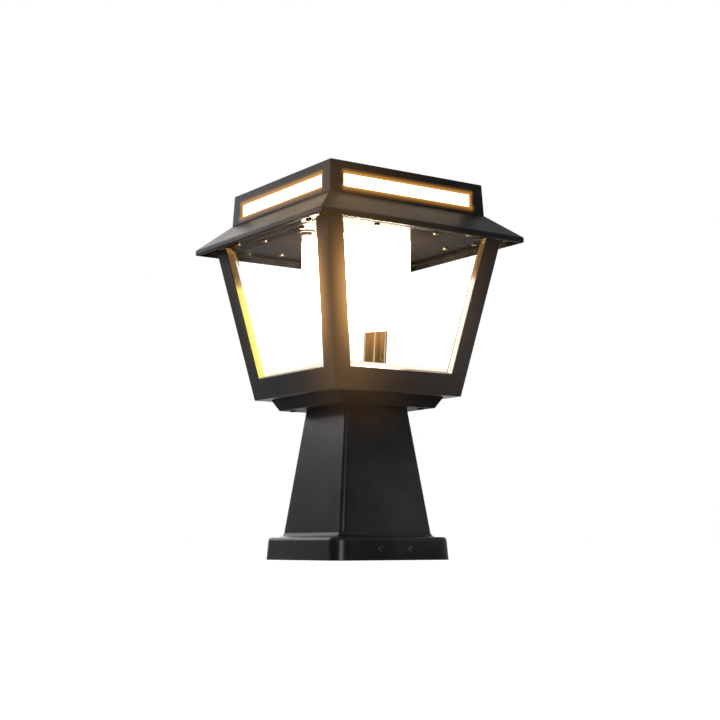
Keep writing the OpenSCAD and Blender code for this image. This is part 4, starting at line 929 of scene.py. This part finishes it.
def pale_floor():
    """Plain floor, white where the camera or a mirror sees it, that still takes a faint shadow."""
    half = 6.0
    mesh = bpy.data.meshes.new("floor")
    corners = [(-half, -half, 0), (half, -half, 0), (half, half, 0), (-half, half, 0)]
    mesh.from_pydata(corners, [], [(0, 1, 2, 3)])
    floor = bpy.data.objects.new("floor", mesh)
    bpy.context.scene.collection.objects.link(floor)
    made, tree, shader, where = new_finish("floor_paper", Roughness=0.9, Specular_IOR_Level=0.1)
    fibres = between(tree, noise(tree, where, 8.0, 3.0), 0.3, 0.7)
    seen = seen_or_mirrored(tree)[0]
    paper = blend_colours(tree, fibres, (0.8, 0.8, 0.8), (0.78, 0.78, 0.78))
    tree.links.new(blend_colours(tree, seen, paper, (0.16, 0.16, 0.16)), shader.inputs["Base Color"])
    shown = blend_colours(tree, seen, BLACK, (1.0, 1.0, 1.0))
    tree.links.new(shown, shader.inputs["Emission Color"])
    shader.inputs["Emission Strength"].default_value = 0.94
    under = add(tree, "ShaderNodeNewGeometry").outputs["Backfacing"]
    clear = add(tree, "ShaderNodeBsdfTransparent").outputs[0]
    joined = add(tree, "ShaderNodeMixShader", {0: under, 1: shader.outputs[0], 2: clear})
    tree.links.new(joined.outputs[0], tree.nodes["Material Output"].inputs["Surface"])
    mesh.materials.append(made)


def pale_world():
    """World that is white where it is seen or mirrored and a soft grey where it lights the object."""
    world = bpy.data.worlds.new("studio")
    bpy.context.scene.world = world
    world.use_nodes = True
    tree = world.node_tree
    seen, through_glass = seen_or_mirrored(tree)
    lighting, shown, past_glass = 0.55, 1.0, 0.35
    plain = between(tree, seen, 0.0, 1.0, lighting, shown)
    extra = between(tree, through_glass, 0.0, 1.0, 0.0, past_glass)
    tree.links.new(maths(tree, "ADD", plain, extra), tree.nodes["Background"].inputs["Strength"])
    tree.nodes["Background"].inputs["Color"].default_value = (1.0, 1.0, 1.0, 1.0)


def soft_light(name, place, size, power, colour, target=(0, 0, 0.15), mirrored=False):
    """One soft lamp, aimed from place at target. It lights the paint, or where mirrored only its gloss."""
    data = bpy.data.lights.new(name, "AREA")
    data.shape = "RECTANGLE"
    data.size, data.size_y = size
    data.energy = power
    data.color = colour
    lamp = bpy.data.objects.new(name, data)
    bpy.context.scene.collection.objects.link(lamp)
    lamp.location = place
    lamp.rotation_euler = (Vector(target) - Vector(place)).to_track_quat("-Z", "Y").to_euler()
    lamp.visible_camera = False
    lamp.visible_transmission = False
    lamp.visible_diffuse = not mirrored
    lamp.visible_glossy = mirrored


def dark_card(name, first, last, top):
    """Curved black studio card, seen only in reflections: an arc of plan angles, floor to top."""
    distance, columns, foot = 2.4, 24, -0.2
    angle, height = np.meshgrid(np.radians(np.linspace(first, last, columns)), np.linspace(foot, top, 2),
                                indexing="ij")
    points = np.stack([-np.cos(angle) * distance, -np.sin(angle) * distance, height], axis=-1)
    mesh = make_mesh(name, points.reshape(-1, 3), grid_faces(columns, 2))
    card = bpy.data.objects.new(name, mesh)
    bpy.context.scene.collection.objects.link(card)
    made, tree, shader, where = new_finish(name, Roughness=1.0, Specular_IOR_Level=0.0)
    weave = between(tree, noise(tree, where, 60.0, 2.0), 0.3, 0.7)
    tree.links.new(blend_colours(tree, weave, (0.01, 0.01, 0.01), (0.014, 0.014, 0.014)),
                   shader.inputs["Base Color"])
    mesh.materials.append(made)
    card.visible_camera = False
    card.visible_diffuse = False
    card.visible_transmission = False
    card.visible_shadow = False


def photo_camera():
    """Camera at the photograph's viewing angle: near the left front corner, low, looking slightly up."""
    turn, distance, height = math.radians(34.32), 1.47, 0.0154
    pitch, yaw, roll = math.radians(7.44), math.radians(-0.147), math.radians(-0.1)
    level = Vector((math.sin(turn - yaw), math.cos(turn - yaw), 0.0))
    right = Vector((level.y, -level.x, 0.0))
    ahead = level * math.cos(pitch) + Vector((0, 0, math.sin(pitch)))
    above = -level * math.sin(pitch) + Vector((0, 0, math.cos(pitch)))
    right, above = (right * math.cos(roll) + above * math.sin(roll),
                    -right * math.sin(roll) + above * math.cos(roll))
    data = bpy.data.cameras.new("photo_camera")
    data.lens = 70.7
    data.sensor_width = 36.0
    camera = bpy.data.objects.new("photo_camera", data)
    bpy.context.scene.collection.objects.link(camera)
    turned = Matrix((right, above, -ahead)).transposed().to_4x4()
    turned.translation = Vector((-math.sin(turn) * distance, -math.cos(turn) * distance, height))
    camera.matrix_world = turned
    bpy.context.scene.camera = camera


pale_floor()
pale_world()
soft_light("key_left", (-1.6, -0.5, 1.2), size=(0.9, 0.9), power=9.0, colour=(1.0, 0.99, 0.97))
soft_light("fill_right", (1.11, -1.4, 0.55), size=(0.4, 0.6), power=2.5, colour=(0.8, 0.9, 1.0),
           target=(0, 0, 0.08))
soft_light("corner_strip", (-0.9, -1.15, 0.27), size=(0.5, 0.56), power=22.0, colour=(0.85, 0.93, 1.0),
           mirrored=True)
soft_light("left_sheen", (-1.0, 1.65, 0.85), size=(0.5, 0.3), power=11.0, colour=(0.95, 0.96, 1.0),
           mirrored=True)
soft_light("back_rim", (0.15, 1.7, 1.0), size=(1.6, 0.8), power=14.0, colour=(1.0, 0.95, 0.92),
           mirrored=True)
soft_light("right_sheen", (0.31, -0.4, 0.16), size=(0.12, 0.12), power=0.22, colour=(0.78, 0.89, 1.0),
           target=(0.04, -0.055, 0.05), mirrored=True)
dark_card("card_left", first=-48, last=36, top=1.6)
dark_card("card_front", first=70, last=136, top=1.1)
photo_camera()
bpy.context.scene.view_settings.view_transform = "Standard"
